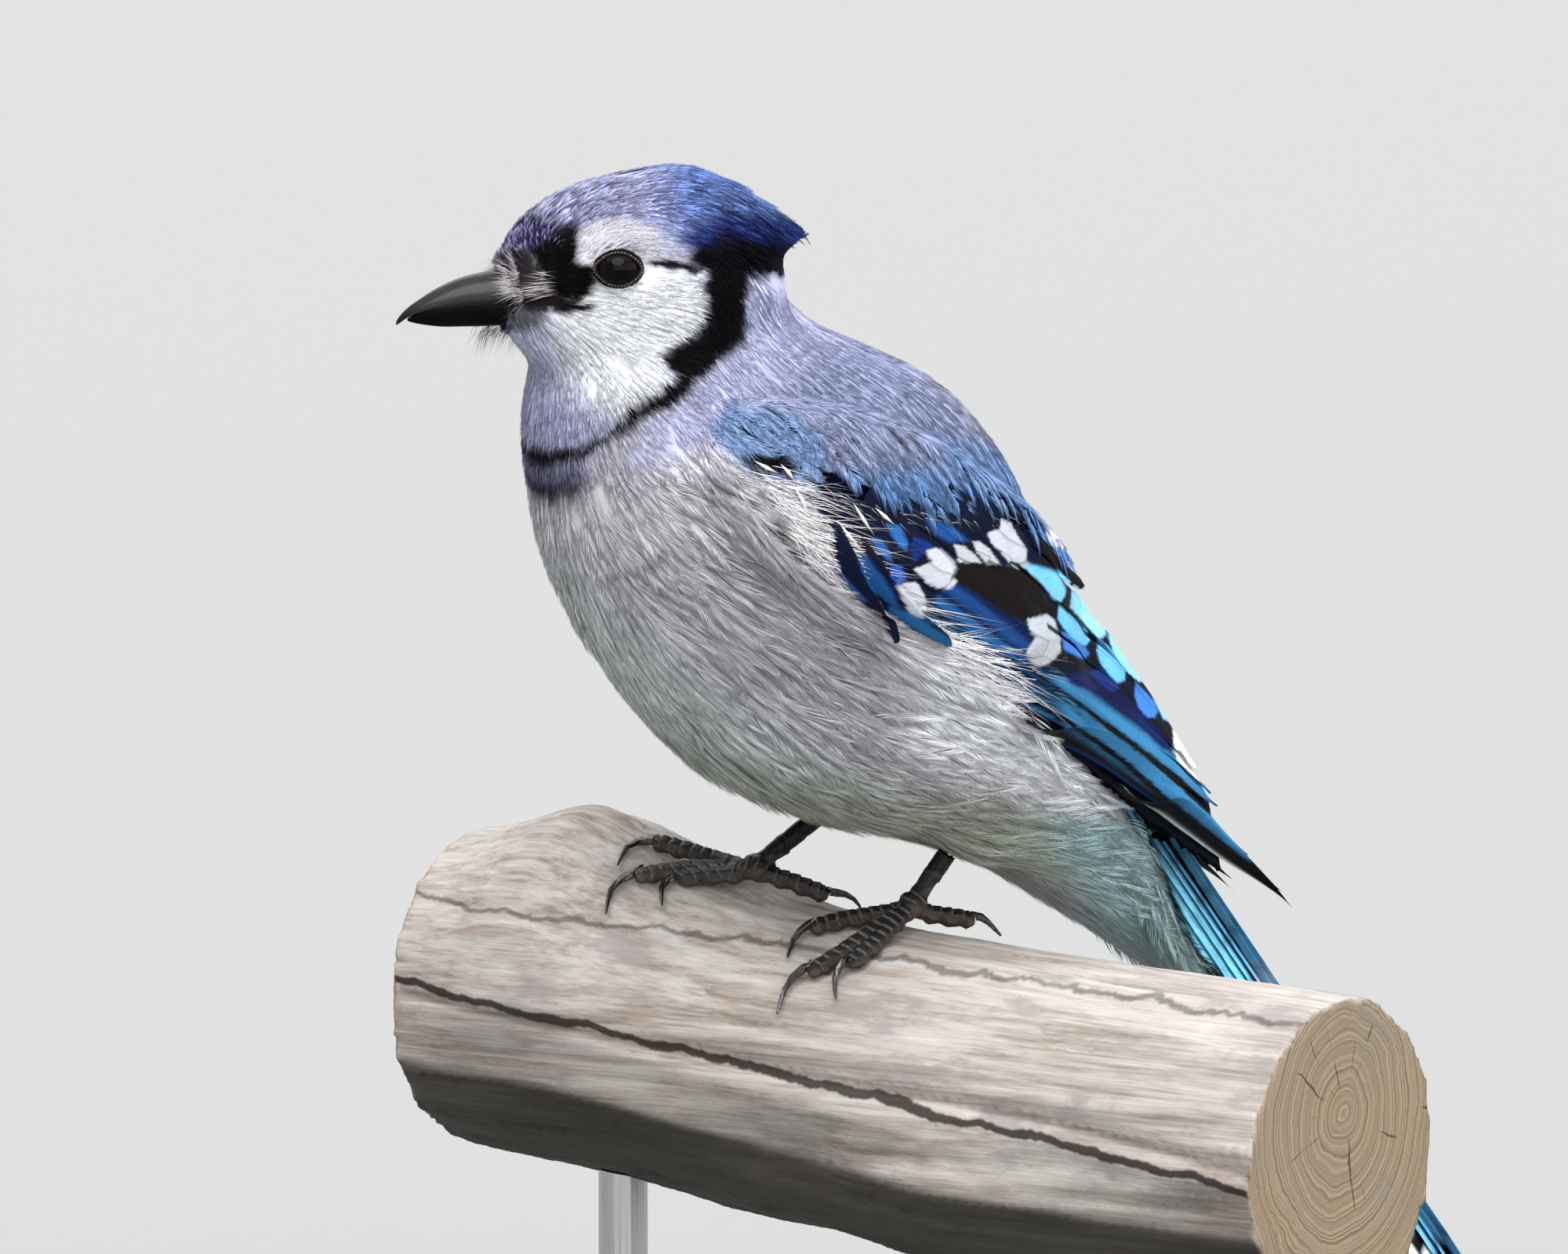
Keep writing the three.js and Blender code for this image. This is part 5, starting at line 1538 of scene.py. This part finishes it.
def hornLook(start, here):
    grain = here.stretch((900, 900, 900)).noise(1.0, 4)
    broad = here.noise(170, 3)
    wearAndShade = (broad * 0.7 + grain * 0.3).between(0.42, 0.66)
    base = wearAndShade.mix(paint(3, 3, 4), paint(8, 8, 11))
    return {"Base Color": base, "Roughness": 0.20 + grain * 0.10 + wearAndShade * 0.08,
            "Normal": start.bump(grain * 0.6 + broad * 0.4, 0.18, 0.0002)}


def lowerHornLook(start, here):
    look = hornLook(start, here)
    look["Base Color"] = here.noise(170, 3).between(0.42, 0.66).mix(paint(2, 2, 2), paint(6, 6, 7))
    return look


billFinishes = {"upper": finish("billHorn", hornLook, 0.24),
                "lower": finish("lowerBillHorn", lowerHornLook, 0.06)}
for half, look in billFinishes.items():
    piece = loft(f"bill_{half}_sheath", billRings(billForm[half], half == "upper"))
    piece.data.materials.append(look)
    useModifier(piece, "SUBSURF", levels=1, render_levels=1)
    place(piece, "bill_horn", f"bill_{half}")
print("bill: two sheaths")


# Eyes: a wet ball behind a lid, ringed with small pale beads.
def eyeLook(start, here):
    away = []
    for middle, axis in eyeSpots:
        front = toWorld(middle + axis * eyes["ball"])
        away.append(start.make("VectorMath", {"operation": "DISTANCE"}, {0: here, 1: tuple(front)}, 1))
    iris = start.sum("MINIMUM", *away).between(0.0019, 0.0023)
    white = here.noise(2600, 2)
    brown = white.mix(paint(7, 3, 2), paint(15, 7, 5))
    return {"Base Color": iris.mix(paint(2, 2, 2), brown), "Roughness": 0.05 + 0.03 * white}


def lidLook(start, here):
    grain = here.noise(3000, 3)
    return {"Base Color": grain.mix(paint(2, 2, 3), paint(9, 8, 9)),
            "Roughness": 0.4 + grain * 0.2, "Normal": start.bump(grain, 0.3, 0.0001)}


def beadLook(start, here):
    grain = here.noise(2200, 2)
    return {"Base Color": grain.mix(paint(92, 88, 90), paint(176, 172, 172)),
            "Roughness": 0.45 + grain * 0.2}


eyeFinish = finish("eye", eyeLook, 0.08)
lidFinish = finish("lid", lidLook, 0.15)
beadFinish = finish("lidBeads", beadLook)
lidForm = {
    "ring": 3.10,
    "thick": 0.27,
    "corners": (0.40, 0.5),  # how far the lid is drawn out in front and behind
    "wrinkle": 0.04,
    "beads": 40,
    "bead": 0.095,
    "beadRing": 3.34,
}


def lidCorner(angle):
    ahead, behind = lidForm["corners"]
    return np.maximum(np.cos(angle), 0) ** 10 * ahead + np.maximum(-np.cos(angle), 0) ** 10 * behind


for name, (middle, axis) in zip(("left", "right"), eyeSpots):
    side = unit(np.cross(headUp, axis))
    above = np.cross(axis, side)
    clearSelection()
    bpy.ops.mesh.primitive_uv_sphere_add(segments=56, ring_count=36, radius=eyes["ball"] / 1000,
                                         location=toWorld(middle))
    ball = bpy.context.object
    ball.name = f"eye_ball_{name}"
    bpy.ops.object.transform_apply(location=True)
    points, triangles = meshArrays(ball)
    bulge = np.clip(unit(points - middle) @ axis, 0, 1) ** 6  # the clear front stands out a little
    tall = (points - middle) @ above
    setCorners(ball, points + axis * 0.22 * bulge[:, None] - above * (tall * (1 - eyes["flat"]))[:, None])
    bpy.ops.object.shade_smooth()
    ball.data.materials.append(eyeFinish)
    place(ball, "eye", f"eye_{name}")
    # lid: a rolled ring, drawn to a corner in front and behind
    clearSelection()
    bpy.ops.mesh.primitive_torus_add(major_segments=72, minor_segments=14, location=(0, 0, 0),
                                     major_radius=lidForm["ring"] / 1000,
                                     minor_radius=lidForm["thick"] / 1000)
    lid = bpy.context.object
    lid.name = f"eye_lid_{name}"
    flat = np.array([corner.co for corner in lid.data.vertices]) * 1000
    angle = np.arctan2(flat[:, 1], flat[:, 0])
    reach = np.hypot(flat[:, 0], flat[:, 1]) + lidCorner(angle)
    wrinkle = lidForm["wrinkle"] * np.sin(angle * 44) * (flat[:, 2] > 0)
    lift = math.sqrt(eyes["ball"] ** 2 - lidForm["ring"] ** 2)
    off = lift + 0.12 + flat[:, 2] * 0.8 + wrinkle - 0.48 * lidCorner(angle)
    setCorners(lid, middle + side * (reach * np.cos(angle))[:, None] + axis * off[:, None]
               + above * (reach * np.sin(angle) * eyes["flat"])[:, None])
    facesOut(lid)
    bpy.ops.object.shade_smooth()
    lid.data.materials.append(lidFinish)
    place(lid, "eye")
    # beads: one small ball copied round the lid
    clearSelection()
    bpy.ops.mesh.primitive_ico_sphere_add(subdivisions=1, radius=lidForm["bead"] / 1000, location=(0, 0, 0))
    shape, faces = shapeOf(bpy.context.object)
    angle = np.linspace(0, 2 * math.pi, lidForm["beads"], endpoint=False)
    reach = lidForm["beadRing"] + lidCorner(angle)
    seats = (middle + side * (reach * np.cos(angle))[:, None] + axis * (lift + 0.38)
             + above * (reach * np.sin(angle) * eyes["flat"])[:, None])
    beads = seats[:, None] + shape[None] * 1000 * draw.uniform(0.75, 1.25, len(seats))[:, None, None]
    beadFaces = np.vstack([faces + k * len(shape) for k in range(len(seats))])
    place(newPiece(f"eye_beads_{name}", beads.reshape(-1, 3), beadFaces, beadFinish), "eye")
print("eyes: ball, lid and beads")

# Bristles: a tuft over the nostrils that points forward, and thin ones along the gape and under the chin.
bristleSets = {
    # name: how many, length from and to, thickness, light and dark colour
    "nostril": (2000, (3.6, 6.6), 0.070, ((226, 220, 224), (96, 84, 88))),
    "gape": (150, (2.5, 5.0), 0.08, ((60, 56, 60), (14, 12, 15))),
    "chin": (240, (3.0, 6.5), 0.07, ((60, 62, 70), (10, 10, 13))),
}


def onSkin(places, off):  # head measure brought onto the skin, and raised off it
    spots, ups = np.empty((len(places), 3)), np.empty((len(places), 3))
    for k, point in enumerate(fromHead(places).tolist()):
        spot, way, face, far = skinTree.find_nearest(point)
        spots[k] = spot
        ups[k] = skinNormals[skinTriangles[face]].sum(axis=0)
    ups = unit(ups)
    return spots + ups * off, ups


def onBill(at, around, side, off):  # places around the bill, off it by so much
    upper, lower = np.array(billForm["upper"]), np.array(billForm["lower"])
    half = np.interp(at, upper[:, 0], upper[:, 3]) + off
    ridge = np.interp(at, upper[:, 0], upper[:, 1])
    edge = np.interp(at, upper[:, 0], upper[:, 2])
    under = np.interp(at, lower[:, 0], lower[:, 2])
    tall = np.where(around >= 0, ridge - edge + off, edge - under + off)
    return np.stack([at, side * half * np.cos(around), edge + tall * np.sin(around)], axis=1)


billMiddle = 3.4  # how far the bill's middle lies below the eyes' level


def growBristles(name):
    number, lengths, thick, (light, dark) = bristleSets[name]
    side = draw.choice([-1.0, 1.0], number)
    length = draw.uniform(*lengths, number)
    much = draw.random(number)[:, None]
    if name == "nostril":
        up = draw.random(number)
        start = draw.random(number)
        places = np.stack([14.8 + 6.6 * start, side * (5.8 - 3.8 * up ** 1.5 + draw.normal(0, 0.4, number)),
                           -1.6 + 4.6 * up], axis=1)
        root, ups = onSkin(places, 0.25)
        climb = np.radians(-10 + 24 * up + draw.normal(0, 8, number))  # the tuft fans upward
        spread = draw.normal(0, 0.12, number)
        way = headWay(np.stack([np.cos(climb), side * spread, 0.8 * np.sin(climb)], axis=1))
        way = unit(way - ups * np.sum(way * ups, axis=1, keepdims=True) * 0.85)
        middle, point = root + way * (length * 0.5)[:, None], root + way * length[:, None]
        for spot, off in ((middle, 0.70), (point, 0.60)):
            at = toHead(spot)  # no strand runs through the bill
            around = np.arctan2(np.maximum(at[:, 2] + billMiddle, 0.2) / 6.0, np.abs(at[:, 1]) / 5.2 + 0.05)
            least = onBill(np.clip(at[:, 0], 13, 40), around, side, off)
            bound = np.hypot(least[:, 1], least[:, 2] + billMiddle)
            now = np.hypot(at[:, 1], at[:, 2] + billMiddle)
            grow = np.maximum(bound / np.maximum(now, 0.1), 1)
            at[:, 1] *= grow
            at[:, 2] = (at[:, 2] + billMiddle) * grow - billMiddle
            spot[:] = fromHead(at)
        drop = 0.25 * length * (1 - up)
        point -= headUp * (drop * 0.3)[:, None]
        brown = (draw.random(number) < 0.20 + 0.35 * (1 - up) * (start < 0.5))[:, None]
        tone = np.where(brown, paint(*dark), paint(*light) * (0.80 + 0.20 * much))
        # the dark base colour, darker still at the root: painted shade where the strands leave the skin
        return [root, middle, point], thick, ups, (paint(*dark) * 0.8, tone * 0.92, tone * 1.05)
    low, high, first, last = {"gape": (15.0, 22.0, -24, 0), "chin": (16.0, 25.5, -88, -34)}[name]
    forward = draw.uniform(low, high, number)
    angle = np.radians(draw.uniform(first, last, number))
    fan = draw.normal(0, 0.16, number)
    root = onBill(forward, angle, side, 0.1)
    middle = onBill(forward + length * 0.5, angle + fan * 0.5, side, 0.7)
    point = onBill(forward + length, angle + fan, side, 0.9)
    droop = {"gape": (0.1, 0.30), "chin": (0.25, 0.75)}[name]
    middle[:, 2] -= droop[0] * length * 0.5
    point[:, 2] -= droop[1] * length * draw.uniform(0.5, 1.1, number)
    point[:, 0] -= 0.30 * length * (name == "chin")
    ups = unit(headWay((middle + [0, 0, 3]) * [0, 1, 1]))
    tone = blend(paint(*dark), paint(*light), much)
    # the roots are painted darker: painted shade where the bristles leave the skin
    return [fromHead(spot) for spot in (root, middle, point)], thick, ups, (tone * 0.45, tone, tone)


for name in bristleSets:
    place(buildCoat(f"bristles_{name}", *growBristles(name)), "head_feathers")

# Loose strands over the edge of each wing: fine flank filaments, grey down below the shoulder, white shafts.
# Name: how many, root line, angle (0 right, 90 down), length in the frame, thickness, lift, light and dark.
strandSets = {
    "filaments": (760, [(935, 596), (980, 655), (1025, 706), (1072, 752), (1120, 788), (1185, 820),
        (1230, 850)], (8, 40), (80, 185), 0.082, 2.6, ((255, 255, 255), (236, 232, 234))),
    "wing_down": (110, [(1020, 606), (1075, 640), (1115, 648), (1198, 656), (1258, 662), (1295, 656),
        (1330, 664)], (10, 50), (24, 52), 0.060, 1.9, ((224, 220, 220), (172, 168, 168))),
}
whiteShafts = [
    [(1060, 664), (1078, 688), (1096, 708)], [(1080, 642), (1094, 664), (1108, 685)], [(1108, 648),
    (1121, 660), (1134, 671)], [(1004, 618), (1018, 640), (1028, 664)], [(958, 590), (974, 600),
    (988, 607)], [(990, 596), (1000, 606), (1008, 618)],
]


def onWhole(places, lift):  # places in the frame brought onto the whole form, raised off it
    spots, ups = np.full((len(places), 3), np.nan), np.full((len(places), 3), np.nan)
    for k, at in enumerate(places):
        hit = wholeTree.ray_cast(eyePoint.tolist(), rayThrough(at).tolist())
        if hit[0] is not None:
            spots[k] = hit[0]
            ups[k] = wholeNormals[wholeTriangles[hit[2]]].sum(axis=0)
    ups = unit(ups)
    return spots + ups * np.reshape(lift, (-1, 1)), ups


def bothSides(name, spots, thick, ups, tints, slotName):
    good = ~np.isnan(np.sum(spots, axis=(0, 2)))
    flip = np.array([-1.0, 1, 1])
    spots = [np.vstack([spot[good], spot[good] * flip]) for spot in spots]
    ups = np.vstack([ups[good], ups[good] * flip])
    tints = [np.vstack([tint[good], tint[good]]) for tint in tints]
    place(buildCoat(name, spots, thick, ups, tints), slotName)


for name, (number, line, turns, lengths, thick, lift, (light, dark)) in strandSets.items():
    dense = alongLine(line, 400)
    start = dense[draw.integers(0, 400, number)] + draw.normal(0, 7, (number, 2)) - [14, 4]
    turned = np.radians(draw.uniform(*turns, number))
    bend = draw.normal(0.06, 0.18, number)
    length = draw.uniform(*lengths, number)
    half = (length * 0.5)[:, None]
    middle = start + np.stack([np.cos(turned), np.sin(turned)], axis=1) * half
    end = middle + np.stack([np.cos(turned + bend), np.sin(turned + bend)], axis=1) * half
    root = onWhole(start, 0.5)[0]
    middle, ups = onWhole(middle, lift * draw.uniform(0.8, 1.1, number))
    end = onWhole(end, lift * draw.uniform(0.8, 1.3, number))[0]
    tone = blend(paint(*dark), paint(*light), draw.random(number))
    # each strand is darker at its root: painted shade where it leaves the coat
    bothSides(name, [root, middle, end], thick, ups, (tone * 0.8, tone, tone), "body_feathers")
shaftLines = np.array(whiteShafts, float)
spots, ups = zip(*[onWhole(shaftLines[:, k], 2.35) for k in range(3)])
tone = np.tile(paint(238, 236, 226), (len(whiteShafts), 1))
# each shaft is darker at its root: painted shade
bothSides("white_shafts", spots, 0.62, ups[1], (tone * 0.8, tone, tone), "wing_feathers")
print("bristles and loose strands set")


# Feet: each shank and its toes are one skin of overlapping plates, with pads below.
footForm = {"voxel": 0.30, "plate": 1.75, "step": 0.24, "pad": 3.4, "padDepth": 0.22, "shankPlate": 3.6}


def buildFoot(side, tipNodes):
    shank, toes = f"shank_{side}", f"toes_{side}"
    foot = remeshed(f"foot_{side}", [shank, toes], footForm["voxel"], 3)
    points, triangles = meshArrays(foot)
    normals = smoothNormals(points, triangles)
    # each toe runs from the ankle to the root of its claw
    footTree = treeOf(points, triangles)
    ends = []
    for node in tipNodes:
        claw = meshArrays(frame["nodes"][node])[0]
        gaps = np.array([footTree.find_nearest(point)[3] for point in claw.tolist()])
        ends.append(claw[gaps < np.sort(gaps)[:max(6, len(gaps) // 6)].max() + 1e-6].mean(axis=0))
    ends.append(points[points[:, 2] > points[:, 2].max() - 1.2].mean(axis=0))  # the top of the shank
    ankle = points[np.abs(points[:, 2] - (toBird(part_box(shank)[0])[2] + 1.0)) < 0.6].mean(axis=0)
    parts, fars = zip(*[besideEdge(points, ankle, end) for end in ends])
    nearest = np.argmin(fars, axis=0)
    run = np.choose(nearest, [part * np.linalg.norm(end - ankle) for part, end in zip(parts, ends)])
    isShank = nearest == len(tipNodes)
    plate = np.where(isShank, footForm["shankPlate"], footForm["plate"])
    phase = run / plate + 0.12 * cloud(points, 2.0, 6)
    saw = phase - np.floor(phase)
    upper = np.where(isShank, 1.0, ramp(normals[:, 2], -0.25, 0.25))
    step = footForm["step"] * np.where(isShank, 0.45, 1.0)
    lift = upper * step * (0.75 * saw ** 1.4 - np.exp(-(np.minimum(saw, 1 - saw) / 0.10) ** 2))
    pads = (1 - upper) * footForm["padDepth"] * np.sin(run / footForm["pad"] * 2 * math.pi)
    grain = 0.05 * cloud(points, 0.55, 7)
    setCorners(foot, points + normals * (lift + pads + grain - skinWork["grow"] - 0.02)[:, None])
    groove = np.exp(-(np.minimum(saw, 1 - saw) / 0.13) ** 2) * upper
    edgePale = np.exp(-((saw - 0.86) / 0.08) ** 2) * upper * np.where(isShank, 0.25, 1.0)
    tints = blend(paint(24, 23, 24), paint(74, 66, 63), (1 - upper) * 0.8)
    tints = blend(tints, paint(112, 107, 104), 0.75 * edgePale)
    tints = blend(tints, paint(6, 5, 6), 0.85 * groove)
    paintCorners(foot, blend(tints, paint(4, 4, 5), 0.75 * isShank * ramp(run, 2, 6)))
    foot.data.materials.append(scaleFinish)
    place(foot, "leg_scales", shank, toes)


def scaleLook(start, here):
    grain = here.noise(1700, 4)
    much = (grain * 0.5 + here.noise(300, 3) * 0.5).between(0.3, 0.7)
    dark = much.mix((0.55, 0.55, 0.56), (1.25, 1.2, 1.15))
    return {"Base Color": cornerTint(start).times(dark), "Roughness": 0.34 + grain * 0.3,
            "Normal": start.bump(grain, 0.4, 0.0002)}


def clawLook(start, here):
    grain = here.noise(900, 4)
    broad = here.noise(260, 2)
    return {"Base Color": broad.between(0.35, 0.65).mix(paint(12, 9, 7), paint(36, 29, 21)),
            "Roughness": 0.2 + grain * 0.18, "Normal": start.bump(grain, 0.15, 0.0002)}


scaleFinish = finish("legScales", scaleLook, 0.2)
clawFinish = finish("claws", clawLook, **{"Coat Weight": 0.5, "Coat Roughness": 0.15})
for side in ("left", "right"):
    clawNodes = [f"claw_{side}_{toe}" for toe in ("inner", "middle", "outer", "rear")]
    buildFoot(side, clawNodes)
    for node in clawNodes:
        piece = remeshed(node + "_horn", [node], 0.17, 4)
        points, triangles = meshArrays(piece)
        setCorners(piece, points - smoothNormals(points, triangles) * (skinWork["grow"] - 0.05))
        piece.data.materials.append(clawFinish)
        place(piece, "claw", node)
print("feet set")


# Perch: a cut length of weathered branch, with grain, checks and sawn ends.
perchForm = {
    "voxel": 1.15,
    "run": (0.882, 0.471, 0),
    "grain": 0.20,
    "crack": [(505, 1262), (640, 1300), (860, 1338), (1100, 1386), (1360, 1436), (1600, 1500), (1850, 1560)],
    "crack2": [(520, 1150), (640, 1158), (760, 1180), (900, 1200)],
    "crackDepth": 1.5,
}
perch = remeshed("perch_wood", ["perch"], perchForm["voxel"], 4)
points, triangles = meshArrays(perch)
normals = smoothNormals(points, triangles)
runWay = unit(np.array(perchForm["run"]))
acrossWay = np.cross([0, 0, 1.0], runWay)
along, across, height = points @ runWay, points @ acrossWay, points[:, 2]
isEnd = np.abs(normals @ runWay) > 0.8
fibre = np.stack([along / 15, across / 1.1, height / 1.1], axis=1)
broad = np.stack([along / 34, across / 5, height / 5], axis=1)
lift = perchForm["grain"] * cloud(fibre, 1.0, 11) + 0.45 * cloud(broad, 1.0, 12)
lift = lift + 0.08 * cloud(points, 0.9, 13)
deep = np.zeros(len(points))
seen = chartOf(points)
facing = normals @ lookBack > -0.1
crackFits = []
for name, half, much in (("crack", 1.3, 0.8), ("crack2", 1.0, 0.3)):
    line = alongLine(perchForm[name], 80)
    far = np.min([besideEdge(seen, a, b)[1] for a, b in zip(line[:-1], line[1:])], axis=0)
    deep = np.maximum(deep, np.exp(-(far / 8 / half) ** 2) * much * facing)
    near = (far < 6) & facing
    crackFits.append(np.polyfit(along[near], height[near], 1))
# shorter checks elsewhere along the grain
checks = cloud(np.stack([along / 22, across / 1.8, height / 1.8], axis=1), 1.0, 15)
deep = np.maximum(deep, 0.40 * ramp(checks, 0.62, 0.80))
lift = lift - perchForm["crackDepth"] * deep
feetNear = ramp(np.linalg.norm(points - [4, -4, 0], axis=1), 12, 30)
lift = np.where(isEnd, 0.06 * cloud(points, 0.7, 16), np.minimum(lift, 0.15 + 0.4 * feetNear))
setCorners(perch, points + normals * (lift - skinWork["grow"])[:, None])
# masks for the wood's shader: crack depth, how far a face looks down (for painted shade underneath), and the
# sawn ends
paintCorners(perch, np.column_stack([deep, ramp(-normals[:, 2], 0.05, 0.60), isEnd]), "Wear")
seenSide = np.sign(across[facing].mean())
endMiddle = (across.mean() / 1000, (height.mean() + footLevel[2]) / 1000)


def woodLook(start, here):
    wearAndShade = start.make("Attribute", {"attribute_name": "Wear"})
    deepPart = start.make("SeparateColor", None, {0: wearAndShade})
    paintedShadeBelow, endPart = deepPart.output(1), deepPart.output(2)
    turned = start.make("VectorRotate", {"rotation_type": "Z_AXIS"},
                        {"Vector": here, "Angle": -math.atan2(perchForm["run"][1], perchForm["run"][0])})
    fibres = turned.stretch((26, 620, 620)).noise(1.0, 5, 0.62)
    fine = turned.stretch((90, 2600, 2600)).noise(1.0, 3, 0.6)
    broadTone = turned.stretch((18, 60, 60)).noise(1.0, 4, 0.6)
    patches = turned.stretch((40, 110, 110)).noise(1.0, 5, 0.7)
    tone = fibres * 0.5 + fine * 0.2 + broadTone * 0.3
    stops = [(0.30, paint(76, 68, 60)), (0.42, paint(126, 117, 109)), (0.52, paint(156, 150, 145)),
             (0.66, paint(178, 175, 172))]
    pale = start.make("ValToRGB", {"stops": stops}, {0: tone})
    grey = (patches.between(0.52, 0.64) * 0.7).mix(pale, paint(126, 120, 118))
    rust = ((1 - patches.between(0.30, 0.44)) * 0.35).mix(grey, paint(124, 94, 72))
    # faces that look down are painted dark brown: painted shade, partly the dark of moss
    brown = (paintedShadeBelow * 0.92).mix(rust, paint(22, 20, 14))
    # darker along the cracks and checks: painted shade inside them
    cracked = (deepPart.between(0.35, 0.95) * 0.6).mix(brown, paint(60, 46, 36))
    run = start.make("SeparateXYZ", None, {0: turned})
    side, high = run.output(1), run.output(2)
    # the long cracks are drawn fine as near-black lines: painted shade inside the cracks
    for k, (slope, level) in enumerate(crackFits):  # the long cracks, drawn fine
        wave = turned.stretch((70, 0, 0)).noise(1.0 + 0.3 * k, 4, 0.6)
        wide = turned.stretch((45, 0, 0)).noise(1.3, 3, 0.6)
        line = high - run * float(slope) - float((level + footLevel[2]) / 1000) - (wave - 0.5) * 0.005
        half = wide * (0.0016, 0.0009)[k]
        beside = (start.sum("ABSOLUTE", line) - half).between(-0.00035, 0.00015)
        shown = (1 - beside) * (side * float(seenSide)).between(0.002, 0.005)
        cracked = (shown * (0.92, 0.6)[k]).mix(cracked, paint(26, 19, 14))
    bend = turned.noise(90, 3)
    sideways = side - float(endMiddle[0]) + (bend - 0.5) * 0.004
    upward = high - float(endMiddle[1]) + (bend - 0.5) * 0.004
    reach = start.sum("SQRT", sideways * sideways + upward * upward)
    turn = start.sum("ARCTAN2", upward, sideways)
    rings = start.vector(reach * 1500).noise(1.0, 3, 0.7)
    rays = start.vector(turn * 9, reach * 40, 4.0).noise(1.0, 2, 0.5)
    sawn = rings.between(0.36, 0.62).mix(paint(104, 88, 70), paint(150, 134, 112))
    sawn = (broadTone.between(0.4, 0.6) * 0.35).mix(sawn, paint(118, 112, 106))
    # dark radial splits on the sawn end: painted shade inside the splits
    split = rays.between(0.66, 0.70) * reach.between(0.002, 0.006)
    sawn = (split * 0.8).mix(sawn, paint(40, 30, 22))
    colour = endPart.mix(cracked, sawn)
    height = fibres * 0.6 + fine * 0.4
    return {"Base Color": colour, "Roughness": 0.7 + fibres * 0.2, "Normal": start.bump(height, 0.55, 0.0004)}


perch.data.materials.append(finish("driftwood", woodLook, 0.25))
place(perch, "driftwood", "perch")
print("perch set")


# Stand: the solids stay, with a painted base and brushed rods.
def paintLook(start, here):
    fine = here.noise(1500, 2)
    broad = here.noise(24, 4)
    base = broad.mix(paint(150, 149, 146), paint(164, 163, 160))
    return {"Base Color": base, "Roughness": 0.42 + broad * 0.12, "Normal": start.bump(fine, 0.08, 0.0002)}


def steelLook(start, here):
    brushed = here.stretch((1800, 1800, 60)).noise(1.0, 4)
    base = brushed.mix(paint(150, 150, 152), paint(196, 196, 198))
    return {"Base Color": base, "Roughness": 0.22 + brushed * 0.2, "Normal": start.bump(brushed, 0.1, 0.0001)}


paintFinish = finish("standPaint", paintLook)
steelFinish = finish("brushedSteel", steelLook, Metallic=1.0)
for node, look in (("stand_base", paintFinish), ("stand_rod_1", steelFinish), ("stand_rod_2", steelFinish)):
    piece = frame["nodes"][node]
    if not piece.material_slots:
        piece.data.materials.append(look)
    for materialSlot in piece.material_slots:
        materialSlot.material = look
print("stand set")
